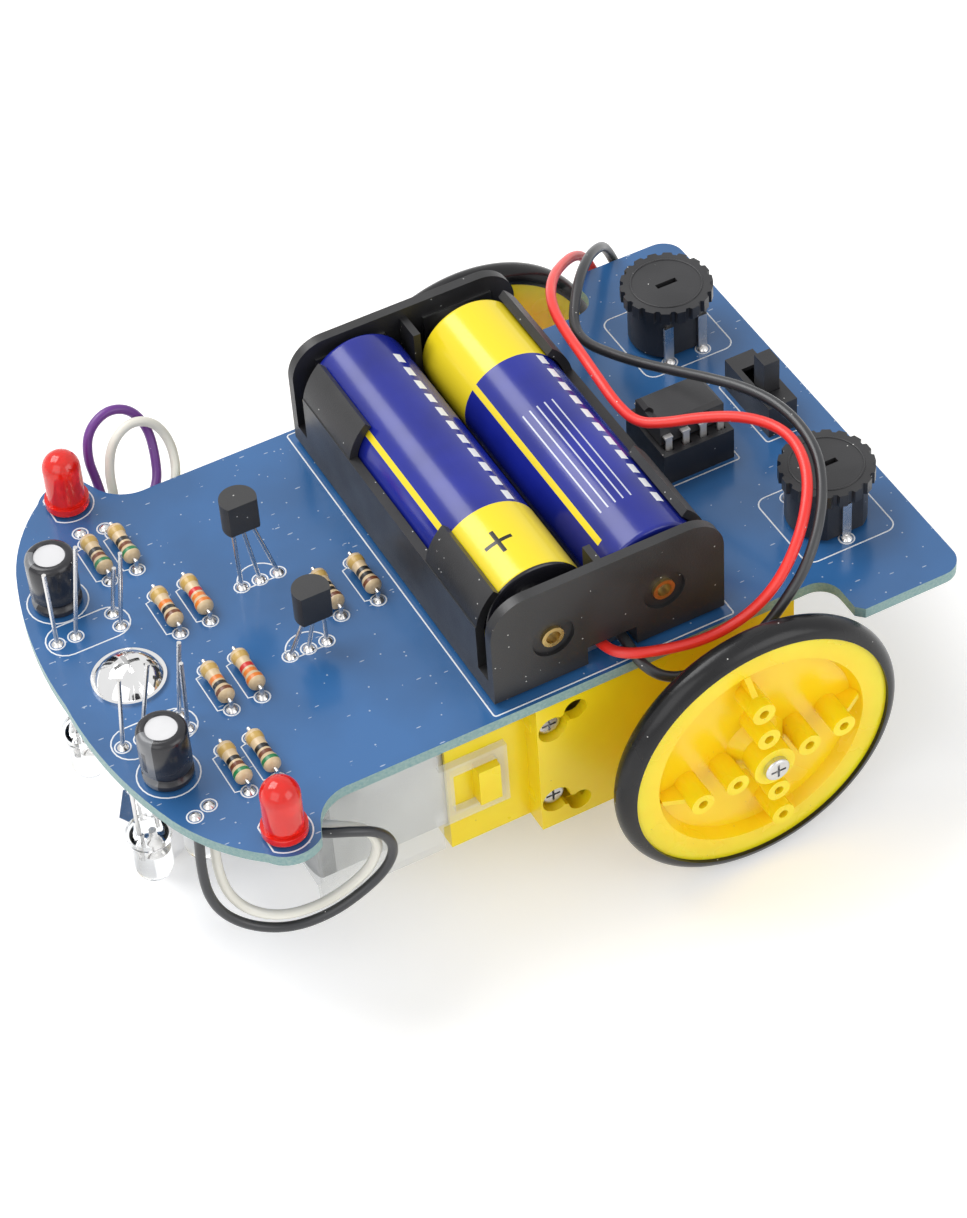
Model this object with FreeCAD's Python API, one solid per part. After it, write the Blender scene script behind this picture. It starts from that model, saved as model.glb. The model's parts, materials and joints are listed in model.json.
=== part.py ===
import FreeCAD, Part
import math
import os

from FreeCAD import Vector

# Line follower robot. Millimetres, +X to the nose, +Y to its left, +Z up.
# The origin is on the floor, under the middle of the circuit board.

# Circuit board
BOARD_LEN = 107.3
BOARD_THICK = 1.6
BOARD_TOP = 33.75
WAIST_HALF = 29.5
TAIL_HALF = 36.7
TAIL_LEN = 15.75
CORNER_R = 3.0
HEAD_HALF = 36.2
NOTCH_FRONT = 29.0
PAD_PITCH = 7.62
LEAD_PITCH = 2.54
LEAD_R = 0.28
LEAN_GAP = 0.09

# Batteries and their holder
CELL_R = 7.05
CELL_LEN = 48.6
CELL_SHIFT = 0.9
NUB_R = 2.75
NUB_LEN = 1.5
CELL_PITCH = 15.5
CELL_FRONT_X = 0.0
CELL_AXIS_UP = 9.1
CELL_GAP = 0.25
HOLDER_END_ROOM = 3.3
HOLDER_WALL = 1.15
HOLDER_END_WALL = 1.4
HOLDER_UP = 16.35
HOLDER_CORNER_R = 5.0
HOLDER_FLOOR = 1.1
HOLDER_TAPE = 0.6
LOW_WALL_UP = 10.5
TAB_ANGLE = 48.0
TAB_LEN = 13.2
TAB_END_GAP = 2.6
RIB_LEN = 4.0
RIB_THICK = 1.0
RIVET_UP = 7.83
RIVET_R = 1.5
RIVET_BORE_R = 0.95
RIVET_PAN_R = 2.9
RIVET_PAN_DEPTH = 0.5
RIVET_PROUD = 0.15
CONTACT_THICK = 0.3
CONTACT_HALF = 5.0
CONTACT_DOWN = 5.2
CONTACT_UP = 4.6
CONTACT_DOME_R = 2.2
TAB_FROM = 8.0
TAB_TO = 4.0
WIRE_TAB = 2.2
NOTCH_FROM = -11.5
NOTCH_TO = -4.6
NOTCH_UP = 3.5

# Drive units, given for the left side and mirrored for the right
AXLE_X = -22.05
AXLE_Z = 20.1
BOX_OUT = 28.65
BOX_WIDE = 19.05
BOX_BACK = 11.4
BOX_LEN = 37.0
BOX_HIGH = 22.5
BOX_WALL = 1.5
SPLIT_IN = 9.65
NECK_LEN = 11.35
NECK_STEP = 3.15
NECK_HIGH = 22.0
CAN_R = 10.0
CAN_FLAT = 14.6
CAN_LEN = 25.0
CAN_WALL = 0.6
CAN_GAP = 0.1
CAP_THICK = 1.9
STRAP_THICK = 1.0
STRAP_HIGH = 18.4
STRAP_FRONT_HIGH = 14.0
LUG_HIGH = 10.2
LUG_PLATE = 9.5
WINDOW_HIGH = 6.6
WINDOW_LEN = 6.2
CASE_SCREW_R = 1.0
CASE_SCREW_HEAD_R = 1.7
CASE_SCREW_SPREAD = 13.2
CASE_SCREW_INSET = 2.2
HEAD_PIT = 2.2
RUNNING_GAP = 0.05
PLAY = 0.3

# Gear train, straight toothed wheels on cross shafts and a crown wheel
MODULE = 0.45
PINION_TEETH = 8
CROWN_TEETH = 36
WHEEL_TEETH = 26
SHAFT_R = 1.0
GEAR_THICK = 1.8
CROWN_THICK = 1.95
CROWN_AHEAD = 14.1
OUTPUT_R = 2.7
OUTPUT_FLAT = 3.7

# Wheels
WHEEL_FACE = 39.8
RIM_R = 18.2
RIM_WIDE = 3.4
GROOVE_R = 16.6
LIP = 0.7
TYRE_RING_R = 18.05
TYRE_TUBE_R = 2.05
DISH_R = 14.0
DISH_SLOPE = 0.8
DISH_DEEP = 1.6
WEB_THICK = 1.8
HUB_R = 2.9
HUB_BACK_R = 4.6
HUB_FOOT_R = 4.4
HUB_PROUD = 3.1
POST_R = 1.6
POST_BORE_R = 0.65
POST_PROUD = 2.9
POST_INNER = 5.25
POST_OUTER = 10.3
POST_TURN = 8.0
SPOKE_THICK = 0.8
WHEEL_SCREW_R = 1.0
WHEEL_SCREW_HEAD_R = 1.7
WHEEL_SCREW_HEAD = 0.9
WHEEL_SCREW_LEN = 9.0

# Skid under the nose
SKID_X = 45.0
SKID_SCREW_R = 2.5
SKID_HEAD_R = 4.75
SKID_HEAD = 2.9
SKID_FLANGE = 0.5
SKID_CROWN_R = 5.05
SKID_NUT_AF = 8.0
SKID_NUT = 4.0
CAP_NUT_HEX = 6.0

# Parts on the board
LED_X = 39.2
LED_Y = 32.14
LED_R = 2.5
LED_FLANGE_R = 2.9
LED_FLANGE = 1.0
LED_LEN = 8.6
LED_STAND = 0.5
CAPACITOR_X = 47.35
CAPACITOR_Y = 16.75
CAPACITOR_R = 3.2
CAPACITOR_UP = 8.4
RESISTOR_R = 1.15
RESISTOR_LEN = 6.3
RESISTOR_UP = 1.5
RESISTOR_END = 1.5
RESISTOR_OUTER_Y = 20.47
RESISTOR_INNER_Y = 7.47
RESISTOR_PLACES = (
    (40.15, RESISTOR_OUTER_Y),
    (36.35, RESISTOR_OUTER_Y),
    (36.3, RESISTOR_INNER_Y),
    (32.15, RESISTOR_INNER_Y),
)
RESISTOR_MIDDLE_X = (17.6, 12.4)
TRANSISTOR_X = 23.65
TRANSISTOR_Y = 6.95
TRANSISTOR_WIDE = 4.8
TRANSISTOR_DEEP = 3.8
TRANSISTOR_HIGH = 4.7
TRANSISTOR_UP = {"left": 5.5, "right": 10.5}
TRANSISTOR_LEAN = {"left": -1.2, "right": 1.5}
SENSOR_FRONT_X = 49.1
SENSOR_REAR_X = 42.2
SENSOR_Y = 10.0
SENSOR_HANG = 24.95
SENSOR_TIPS = {
    ("right", "front"): ((0.0, 0.0, 12.3), (-1.9, 0.6, 15.4)),
    ("right", "rear"): ((-1.4, 0.4, 12.6), (-1.1, 0.3, 7.8)),
    ("left", "front"): ((-0.9, 0.3, 11.8), (-2.1, 0.7, 13.0)),
    ("left", "rear"): ((-0.4, 0.1, 11.5), (-1.3, 0.4, 12.6)),
}
SOCKET_X = -33.7
SOCKET_LEN = 10.3
SOCKET_WIDE = 10.0
SOCKET_HIGH = 5.0
SOCKET_WALL = 2.2
CHIP_LEN = 9.4
CHIP_WIDE = 6.4
CHIP_HIGH = 3.4
CHIP_STAND = 0.5
POT_X = -43.4
POT_Y = 20.0
POT_BODY_R = 5.3
POT_BODY_UP = 6.4
POT_STAND = 0.6
POT_PIN_OUT = 5.05
POT_PIN_WIDE = 1.3
POT_PIN_THICK = 0.45
THUMB_R = 6.2
THUMB_THICK = 1.9
THUMB_TEETH = 18
THUMB_TOOTH = 0.45
THUMB_PIVOT_R = 1.6
SWITCH_X = -46.65
SWITCH_Y = -1.3
SWITCH_LEN = 11.1
SWITCH_WIDE = 4.25
SWITCH_HIGH = 5.0
SWITCH_WALL = 0.6
KNOB_LEN = 2.5
KNOB_WIDE = 2.3
KNOB_UP = 10.0
KNOB_TRAVEL = 3.0

# Wires
BATTERY_WIRE_D = 1.4
MOTOR_WIRE_D = 1.3

# Worked out from the values above
BOARD_LOW = BOARD_TOP - BOARD_THICK
NOSE = BOARD_LEN / 2
TAIL_FRONT = -NOSE + TAIL_LEN
CELL_Z = BOARD_TOP + CELL_AXIS_UP
CELL_CLEAR_R = CELL_R + CELL_GAP
CELL_REAR_X = CELL_FRONT_X - CELL_PITCH
HOLDER_FRONT = CELL_FRONT_X + CELL_CLEAR_R + HOLDER_WALL
HOLDER_REAR = CELL_REAR_X - CELL_CLEAR_R - HOLDER_WALL
HOLDER_LOW = BOARD_TOP + HOLDER_TAPE
HOLDER_TOP = BOARD_TOP + HOLDER_UP
HOLDER_HALF = CELL_LEN / 2 + HOLDER_END_ROOM
END_INNER = HOLDER_HALF - HOLDER_END_WALL
BOX_REAR = AXLE_X - BOX_BACK
BOX_FRONT = BOX_REAR + BOX_LEN
BOX_IN = BOX_OUT - BOX_WIDE
BOX_TOP = AXLE_Z + BOX_HIGH / 2
BOX_LOW = AXLE_Z - BOX_HIGH / 2
SPLIT_Y = BOX_OUT - SPLIT_IN
NECK_OUT = BOX_OUT - NECK_STEP
NECK_FRONT = BOX_FRONT + NECK_LEN
MOTOR_Y = (NECK_OUT + BOX_IN) / 2
CAN_REAR = BOX_FRONT + 2.0
CAN_FRONT = CAN_REAR + CAN_LEN
CAP_FRONT = CAN_FRONT + CAP_THICK
CROWN_X = AXLE_X + CROWN_AHEAD
PINION_R = MODULE * PINION_TEETH / 2
WHEEL_GEAR_R = MODULE * WHEEL_TEETH / 2
CROWN_R = MODULE * CROWN_TEETH / 2
GEAR_STEP = PINION_R + WHEEL_GEAR_R
IDLER_X = (AXLE_X + CROWN_X) / 2
IDLER_Z = AXLE_Z + math.sqrt(GEAR_STEP ** 2 - (CROWN_AHEAD / 2) ** 2)
PINION_TIP_R = PINION_R + 0.8 * MODULE
CROWN_LOW = MOTOR_Y + PINION_TIP_R + PLAY
CROWN_TOP = CROWN_LOW + CROWN_THICK
IDLER_LOW = CROWN_TOP + PLAY
IDLER_MID = IDLER_LOW + GEAR_THICK
OUTPUT_LOW = IDLER_MID + PLAY
OUTPUT_TOP = OUTPUT_LOW + GEAR_THICK
CAVITY_OUT = BOX_OUT - BOX_WALL
CAVITY_IN = BOX_IN + BOX_WALL
WHEEL_BACK = WHEEL_FACE - RIM_WIDE
TYRE_Y = WHEEL_FACE - 1.5
DISH_FLOOR = WHEEL_FACE - DISH_DEEP
HUB_FACE = WHEEL_FACE + HUB_PROUD
SKID_NUT_LOW = BOARD_LOW - SKID_NUT
SKID_DOME_R = SKID_NUT_AF / 2
LED_LOW = BOARD_TOP + LED_STAND
THUMB_LOW = BOARD_TOP + POT_STAND + POT_BODY_UP + RUNNING_GAP * 2
SWITCH_TOP = BOARD_TOP + SWITCH_HIGH
SIDES = (("left", 1), ("right", -1))


def save(name, shape):
    shape.exportStep("parts/" + name + ".step")
    print(name, len(shape.Solids), "solids", round(shape.Volume, 2), "mm3")


def box(x0, x1, y0, y1, z0, z1):
    return Part.makeBox(x1 - x0, y1 - y0, z1 - z0, Vector(x0, y0, z0))


def xrod(r, x0, x1, y, z):
    return Part.makeCylinder(r, x1 - x0, Vector(x0, y, z), Vector(1, 0, 0))


def yrod(r, y0, y1, x, z):
    return Part.makeCylinder(r, y1 - y0, Vector(x, y0, z), Vector(0, 1, 0))


def zrod(r, z0, z1, x, y):
    return Part.makeCylinder(r, z1 - z0, Vector(x, y, z0), Vector(0, 0, 1))


def rod(r, start, end):
    """A round rod between two points."""
    line = Vector(*end) - Vector(*start)
    return Part.makeCylinder(r, line.Length, Vector(*start), line)


def prism(points, push):
    """A straight sided solid from a closed outline and a push."""
    corners = [Vector(*p) for p in points]
    corners.append(corners[0])
    return Part.Face(Part.makePolygon(corners)).extrude(Vector(*push))


def mirrored(shape, side):
    if side > 0:
        return shape
    return shape.mirror(Vector(0, 0, 0), Vector(0, 1, 0))


def hexagon(across, z0, z1, x, y):
    r = across / math.sqrt(3)
    points = [
        (x + r * math.cos(math.radians(60 * k)), y + r * math.sin(math.radians(60 * k)), z0)
        for k in range(6)
    ]
    return prism(points, (0, 0, z1 - z0))


def cross_recess(centre, axis, size, deep):
    """Two crossed slots sunk into a screw head along -axis."""
    thin = size * 0.16
    if axis == "z":
        x, y, z = centre
        one = box(x - size, x + size, y - thin, y + thin, z - deep, z + deep)
        two = box(x - thin, x + thin, y - size, y + size, z - deep, z + deep)
    else:
        x, y, z = centre
        one = box(x - size, x + size, y - deep, y + deep, z - thin, z + thin)
        two = box(x - thin, x + thin, y - deep, y + deep, z - size, z + size)
    return one.fuse(two)


# Circuit board

def board_outline(side):
    """Edges of one half of the outline, from the nose to the tail."""
    def at(x, y):
        return Vector(x, side * y, BOARD_LOW)

    tail = TAIL_HALF
    r = CORNER_R
    soft = 0.293 * r
    edges = [
        Part.Arc(at(NOSE, 0), at(52.5, 15.3), at(50.1, 23.8)),
        Part.Arc(at(50.1, 23.8), at(47.2, 29.2), at(42.6, 34.2)),
        Part.Arc(at(42.6, 34.2), at(39.6, HEAD_HALF), at(35.9, 35.2)),
        Part.LineSegment(at(35.9, 35.2), at(35.0, 33.2)),
        Part.Arc(at(35.0, 33.2), at(32.9, 30.5), at(NOTCH_FRONT, WAIST_HALF)),
        Part.LineSegment(at(NOTCH_FRONT, WAIST_HALF), at(TAIL_FRONT + r, WAIST_HALF)),
        Part.Arc(
            at(TAIL_FRONT + r, WAIST_HALF),
            at(TAIL_FRONT + soft, WAIST_HALF + soft),
            at(TAIL_FRONT, WAIST_HALF + r),
        ),
        Part.LineSegment(at(TAIL_FRONT, WAIST_HALF + r), at(TAIL_FRONT, tail - 1.0)),
        Part.LineSegment(at(TAIL_FRONT, tail - 1.0), at(TAIL_FRONT - 1.0, tail)),
        Part.LineSegment(at(TAIL_FRONT - 1.0, tail), at(-NOSE + r, tail)),
        Part.Arc(at(-NOSE + r, tail), at(-NOSE + soft, tail - soft), at(-NOSE, tail - r)),
    ]
    return [edge.toShape() for edge in edges]


def circuit_board():
    edges = board_outline(1) + board_outline(-1)
    back = [Vector(-NOSE, s * (TAIL_HALF - CORNER_R), BOARD_LOW) for s in (1, -1)]
    edges.append(Part.LineSegment(back[0], back[1]).toShape())
    wire = Part.Wire(Part.__sortEdges__(edges))
    board = Part.Face(wire).extrude(Vector(0, 0, BOARD_THICK))
    hole = zrod(SKID_SCREW_R + RUNNING_GAP, BOARD_LOW - 1, BOARD_TOP + 1, SKID_X, 0)
    return board.cut(hole)


# Batteries and holder

def end_wall(side):
    """One end wall with rounded top corners, rivet pans and bores."""
    y0 = side * END_INNER
    low = HOLDER_LOW
    top = HOLDER_TOP
    r = HOLDER_CORNER_R
    soft = 0.293 * r

    def at(x, z):
        return Vector(x, y0, z)

    edges = [
        Part.LineSegment(at(HOLDER_REAR, low), at(HOLDER_FRONT, low)),
        Part.LineSegment(at(HOLDER_FRONT, low), at(HOLDER_FRONT, top - r)),
        Part.Arc(
            at(HOLDER_FRONT, top - r),
            at(HOLDER_FRONT - soft, top - soft),
            at(HOLDER_FRONT - r, top),
        ),
        Part.LineSegment(at(HOLDER_FRONT - r, top), at(HOLDER_REAR + r, top)),
        Part.Arc(
            at(HOLDER_REAR + r, top),
            at(HOLDER_REAR + soft, top - soft),
            at(HOLDER_REAR, top - r),
        ),
        Part.LineSegment(at(HOLDER_REAR, top - r), at(HOLDER_REAR, low)),
    ]
    wire = Part.Wire([edge.toShape() for edge in edges])
    wall = Part.Face(wire).extrude(Vector(0, side * HOLDER_END_WALL, 0))
    pan = RIVET_PAN_DEPTH
    z = BOARD_TOP + RIVET_UP
    for x in (CELL_FRONT_X, CELL_REAR_X):
        outer = side * HOLDER_HALF
        wall = wall.cut(yrod(RIVET_PAN_R, outer - pan, outer + pan, x, z))
        wall = wall.cut(yrod(RIVET_R, outer - 3, outer + 3, x, z))
    return wall


def side_wall(x_cell, out, y0, y1, up):
    """The low wall along a cell; out is 1 to the front and -1 to the rear."""
    face = x_cell + out * (CELL_CLEAR_R + HOLDER_WALL)
    inner = x_cell + out * (CELL_R * 0.55)
    return box(min(face, inner), max(face, inner), y0, y1, HOLDER_LOW, BOARD_TOP + up)


def curled_tab(x_cell, out, y0, y1):
    """A tab that curls over a cell, a slice of a ring round the cell's axis."""
    ring = yrod(CELL_CLEAR_R + HOLDER_WALL, y0, y1, x_cell, CELL_Z)
    far = 30.0
    rise = math.radians(TAB_ANGLE)
    tip = (x_cell + out * far * math.cos(rise), y0, CELL_Z + far * math.sin(rise))
    slice_points = [
        (x_cell, y0, CELL_Z),
        (x_cell + out * far, y0, CELL_Z),
        tip,
    ]
    return ring.common(prism(slice_points, (0, y1 - y0, 0)))


def battery_holder():
    holder = box(HOLDER_REAR, HOLDER_FRONT, -HOLDER_HALF, HOLDER_HALF,
                 HOLDER_LOW, HOLDER_LOW + HOLDER_FLOOR)
    for side in (1, -1):
        holder = holder.fuse(end_wall(side))
    tab_end = END_INNER - TAB_END_GAP
    for x_cell, out in ((CELL_FRONT_X, 1), (CELL_REAR_X, -1)):
        holder = holder.fuse(side_wall(x_cell, out, -END_INNER, END_INNER, NOTCH_UP))
        holder = holder.fuse(side_wall(x_cell, out, -tab_end, tab_end, LOW_WALL_UP))
        for y0 in (-tab_end, tab_end - TAB_LEN):
            holder = holder.fuse(curled_tab(x_cell, out, y0, y0 + TAB_LEN))
    for x_cell in (CELL_FRONT_X, CELL_REAR_X):
        holder = holder.cut(yrod(CELL_CLEAR_R, -END_INNER, END_INNER, x_cell, CELL_Z))
    middle = (CELL_FRONT_X + CELL_REAR_X) / 2
    for y0 in (-END_INNER, END_INNER - RIB_LEN):
        holder = holder.fuse(box(middle - RIB_THICK / 2, middle + RIB_THICK / 2,
                                 y0, y0 + RIB_LEN, HOLDER_LOW, HOLDER_TOP - 1.4))
    notch = box(NOTCH_FROM, NOTCH_TO, 20.0, HOLDER_HALF + 1,
                HOLDER_LOW - 1, BOARD_TOP + NOTCH_UP)
    return holder.cut(notch).removeSplitter()


def holder_rivets():
    rivets = []
    z = BOARD_TOP + RIVET_UP
    for side in (1, -1):
        for x in (CELL_FRONT_X, CELL_REAR_X):
            y0 = side * END_INNER
            y1 = side * (HOLDER_HALF - RIVET_PAN_DEPTH + RIVET_PROUD + 0.3)
            tube = yrod(RIVET_R, min(y0, y1), max(y0, y1), x, z)
            rivets.append(tube.cut(yrod(RIVET_BORE_R, min(y0, y1), max(y0, y1), x, z)))
    return Part.makeCompound(rivets)


def holder_contacts():
    """A sprung plate at each cell end, with its dome against the cell."""
    plates = []
    near_plus = CELL_LEN / 2 - CELL_SHIFT + NUB_LEN
    far_minus = CELL_LEN / 2 + CELL_SHIFT
    for x, plus in ((CELL_FRONT_X, 1), (CELL_REAR_X, -1)):
        for side in (1, -1):
            reach = near_plus if side == plus else far_minus
            y_wall = END_INNER
            y_plate = END_INNER - CONTACT_THICK
            plate = box(x - CONTACT_HALF, x + CONTACT_HALF, y_plate, y_wall,
                        CELL_Z - CONTACT_DOWN, CELL_Z + CONTACT_UP)
            dome = yrod(CONTACT_DOME_R, reach, y_plate, x, CELL_Z)
            plate = plate.fuse(dome)
            if side > 0:
                tab_x = x - CONTACT_HALF if x == CELL_FRONT_X else x + CONTACT_HALF
                low = tab_x - WIRE_TAB if x == CELL_FRONT_X else tab_x
                plate = plate.fuse(box(low, low + WIRE_TAB, y_plate, y_wall,
                                       CELL_Z - TAB_FROM, CELL_Z - TAB_TO))
            plates.append(mirrored(plate, side))
    return Part.makeCompound(plates)


def battery(x, plus):
    """A cell lying along Y; plus is the side that its raised end faces."""
    low = -CELL_LEN / 2 - CELL_SHIFT
    high = CELL_LEN / 2 - CELL_SHIFT
    body = yrod(CELL_R, low, high, x, CELL_Z)
    rim = [e for e in body.Edges if isinstance(e.Curve, Part.Circle)]
    body = body.makeFillet(0.7, rim)
    nub = yrod(NUB_R, high, high + NUB_LEN, x, CELL_Z)
    return mirrored(body.fuse(nub), plus)


# Drive units

def gear(teeth, y0, y1, x, z, tooth_angle):
    """Straight teeth with play; tooth_angle points at the middle of a tooth."""
    pitch_r = MODULE * teeth / 2
    tip = pitch_r + 0.8 * MODULE
    root = pitch_r - 1.1 * MODULE
    step = 2 * math.pi / teeth
    points = []
    for k in range(teeth):
        middle = tooth_angle + k * step
        for share, r in ((-0.28, root), (-0.1, tip), (0.1, tip), (0.28, root)):
            a = middle + share * step
            points.append((x + r * math.cos(a), y0, z + r * math.sin(a)))
    return prism(points, (0, y1 - y0, 0))


def toward(x0, z0, x1, z1):
    return math.atan2(z1 - z0, x1 - x0)


def output_shaft():
    """The last gear and its double flat shaft, which carries the wheel."""
    angle = toward(AXLE_X, AXLE_Z, IDLER_X, IDLER_Z)
    wheel = gear(WHEEL_TEETH, OUTPUT_LOW, OUTPUT_TOP, AXLE_X, AXLE_Z, angle)
    journal = yrod(OUTPUT_R, OUTPUT_TOP, BOX_OUT + 0.9, AXLE_X, AXLE_Z)
    tail = yrod(SHAFT_R, CAVITY_IN + 0.4, OUTPUT_LOW, AXLE_X, AXLE_Z)
    end = DISH_FLOOR
    stub = yrod(OUTPUT_R, BOX_OUT + 0.9, end, AXLE_X, AXLE_Z)
    flat = OUTPUT_FLAT / 2
    stub = stub.common(box(AXLE_X - 5, AXLE_X + 5, BOX_OUT, end + 1, AXLE_Z - flat, AXLE_Z + flat))
    shaft = wheel.multiFuse([journal, tail, stub])
    return shaft.cut(yrod(WHEEL_SCREW_R + RUNNING_GAP, end - 7.5, end + 1, AXLE_X, AXLE_Z))


def idler_gear():
    """The middle pair of gears, one piece on its own journal."""
    to_output = toward(IDLER_X, IDLER_Z, AXLE_X, AXLE_Z)
    to_crown = toward(IDLER_X, IDLER_Z, CROWN_X, AXLE_Z)
    half_wheel = math.pi / WHEEL_TEETH
    half_pinion = math.pi / PINION_TEETH
    wheel = gear(WHEEL_TEETH, IDLER_LOW, IDLER_MID, IDLER_X, IDLER_Z, to_crown + half_wheel)
    pinion = gear(PINION_TEETH, IDLER_MID, OUTPUT_TOP, IDLER_X, IDLER_Z, to_output + half_pinion)
    journal = yrod(SHAFT_R, OUTPUT_TOP, BOX_OUT - 0.7, IDLER_X, IDLER_Z)
    return wheel.fuse(pinion).fuse(journal)


def crown_gear():
    """The crown wheel, its small gear and its shaft."""
    to_idler = toward(CROWN_X, AXLE_Z, IDLER_X, IDLER_Z)
    disc = yrod(CROWN_R + 0.4, CROWN_LOW + 0.8, CROWN_TOP, CROWN_X, AXLE_Z)
    ring = yrod(CROWN_R + 0.4, CROWN_LOW, CROWN_LOW + 0.8, CROWN_X, AXLE_Z)
    ring = ring.cut(yrod(CROWN_R - 1.6, CROWN_LOW, CROWN_LOW + 0.8, CROWN_X, AXLE_Z))
    slot = 0.36 * 2 * math.pi * (CROWN_R - 0.6) / CROWN_TEETH
    slots = []
    for k in range(CROWN_TEETH):
        one = box(CROWN_X, CROWN_X + CROWN_R + 2, CROWN_LOW - 1, CROWN_LOW + 0.8,
                  AXLE_Z - slot, AXLE_Z + slot)
        one.rotate(Vector(CROWN_X, 0, AXLE_Z), Vector(0, 1, 0), k * 360 / CROWN_TEETH)
        slots.append(one)
    ring = ring.cut(slots)
    pinion = gear(PINION_TEETH, CROWN_TOP, IDLER_MID + 0.2, CROWN_X, AXLE_Z, to_idler)
    shaft = yrod(SHAFT_R, BOX_IN + 0.7, BOX_OUT - 0.7, CROWN_X, AXLE_Z)
    hub = yrod(SHAFT_R + 0.8, SPLIT_Y, CROWN_LOW + 0.8, CROWN_X, AXLE_Z)
    return disc.multiFuse([ring, pinion, shaft, hub])


def rotor():
    """The motor's armature and shaft with the pinion on its end."""
    pinion = gear(PINION_TEETH, 0, 5.0, 0, 0, 0)
    pinion.rotate(Vector(0, 0, 0), Vector(0, 0, 1), -90)
    pinion.translate(Vector(CROWN_X + CROWN_R - 2.2, MOTOR_Y, AXLE_Z))
    shaft = xrod(SHAFT_R, CROWN_X + CROWN_R - 2.2, CAP_FRONT - 0.6, MOTOR_Y, AXLE_Z)
    core = xrod(CAN_FLAT / 2 - 1.6, CAN_REAR + 5, CAN_FRONT - 4, MOTOR_Y, AXLE_Z)
    return pinion.multiFuse([shaft, core])


def flat_can(r, flat, x0, x1):
    """A round bar with two flats, as the motor's can has."""
    bar = xrod(r, x0, x1, MOTOR_Y, AXLE_Z)
    return bar.common(box(x0 - 1, x1 + 1, MOTOR_Y - flat / 2, MOTOR_Y + flat / 2, -5, 60))


def motor_can():
    can = flat_can(CAN_R, CAN_FLAT, CAN_REAR, CAN_FRONT)
    inner = flat_can(CAN_R - CAN_WALL, CAN_FLAT - 2 * CAN_WALL, CAN_REAR + CAN_WALL, CAN_FRONT + 1)
    bore = xrod(SHAFT_R + RUNNING_GAP, CAN_REAR - 1, CAN_REAR + 2, MOTOR_Y, AXLE_Z)
    return can.cut(inner).cut(bore)


def motor_end_cap():
    """The dark plastic end with its bearing; the motor wires end on its face."""
    cap = flat_can(CAN_R, CAN_FLAT, CAN_FRONT, CAP_FRONT)
    plug_r = CAN_R - CAN_WALL - 0.1
    plug = flat_can(plug_r, CAN_FLAT - 2 * CAN_WALL - 0.2, CAN_FRONT - 2.5, CAN_FRONT)
    bearing = xrod(SHAFT_R + RUNNING_GAP, CAN_FRONT - 3, CAP_FRONT - 0.5, MOTOR_Y, AXLE_Z)
    boss = xrod(2.6, CAP_FRONT, CAP_FRONT + STRAP_THICK + 0.5, MOTOR_Y, AXLE_Z)
    return cap.multiFuse([plug, boss]).cut(bearing)


def motor_strap():
    """The clear strap round the motor, hooked on a lug at each side."""
    low = AXLE_Z - STRAP_HIGH / 2
    high = AXLE_Z + STRAP_HIGH / 2
    out = NECK_OUT + PLAY / 3
    front = CAP_FRONT + PLAY / 3
    rear = NECK_FRONT - LUG_PLATE + 1.4
    inner = 2 * MOTOR_Y - out
    plates = []
    for y0, y1 in ((out, out + STRAP_THICK), (inner - STRAP_THICK, inner)):
        wide = box(NECK_FRONT + 1.4, front + STRAP_THICK, y0, y1, low, high)
        arm = box(rear, NECK_FRONT + 1.4, y0, y1, AXLE_Z - LUG_HIGH / 2, AXLE_Z + LUG_HIGH / 2)
        plates.append(wide.fuse(arm))
    strap = plates[0].fuse(plates[1])
    rise = STRAP_FRONT_HIGH / 2
    strap = strap.fuse(box(front, front + STRAP_THICK, inner, out, AXLE_Z - rise, AXLE_Z + rise))
    strap = strap.cut(xrod(2.8, front - 1, front + 3, MOTOR_Y, AXLE_Z))
    window = box(rear + 1.4, rear + 1.4 + WINDOW_LEN, inner - 5, out + 5,
                 AXLE_Z - WINDOW_HIGH / 2, AXLE_Z + WINDOW_HIGH / 2)
    return strap.cut(window)


def screw_places():
    x = BOX_FRONT - CASE_SCREW_INSET
    for up in (1, -1):
        yield x, AXLE_Z + up * CASE_SCREW_SPREAD / 2, up


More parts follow.
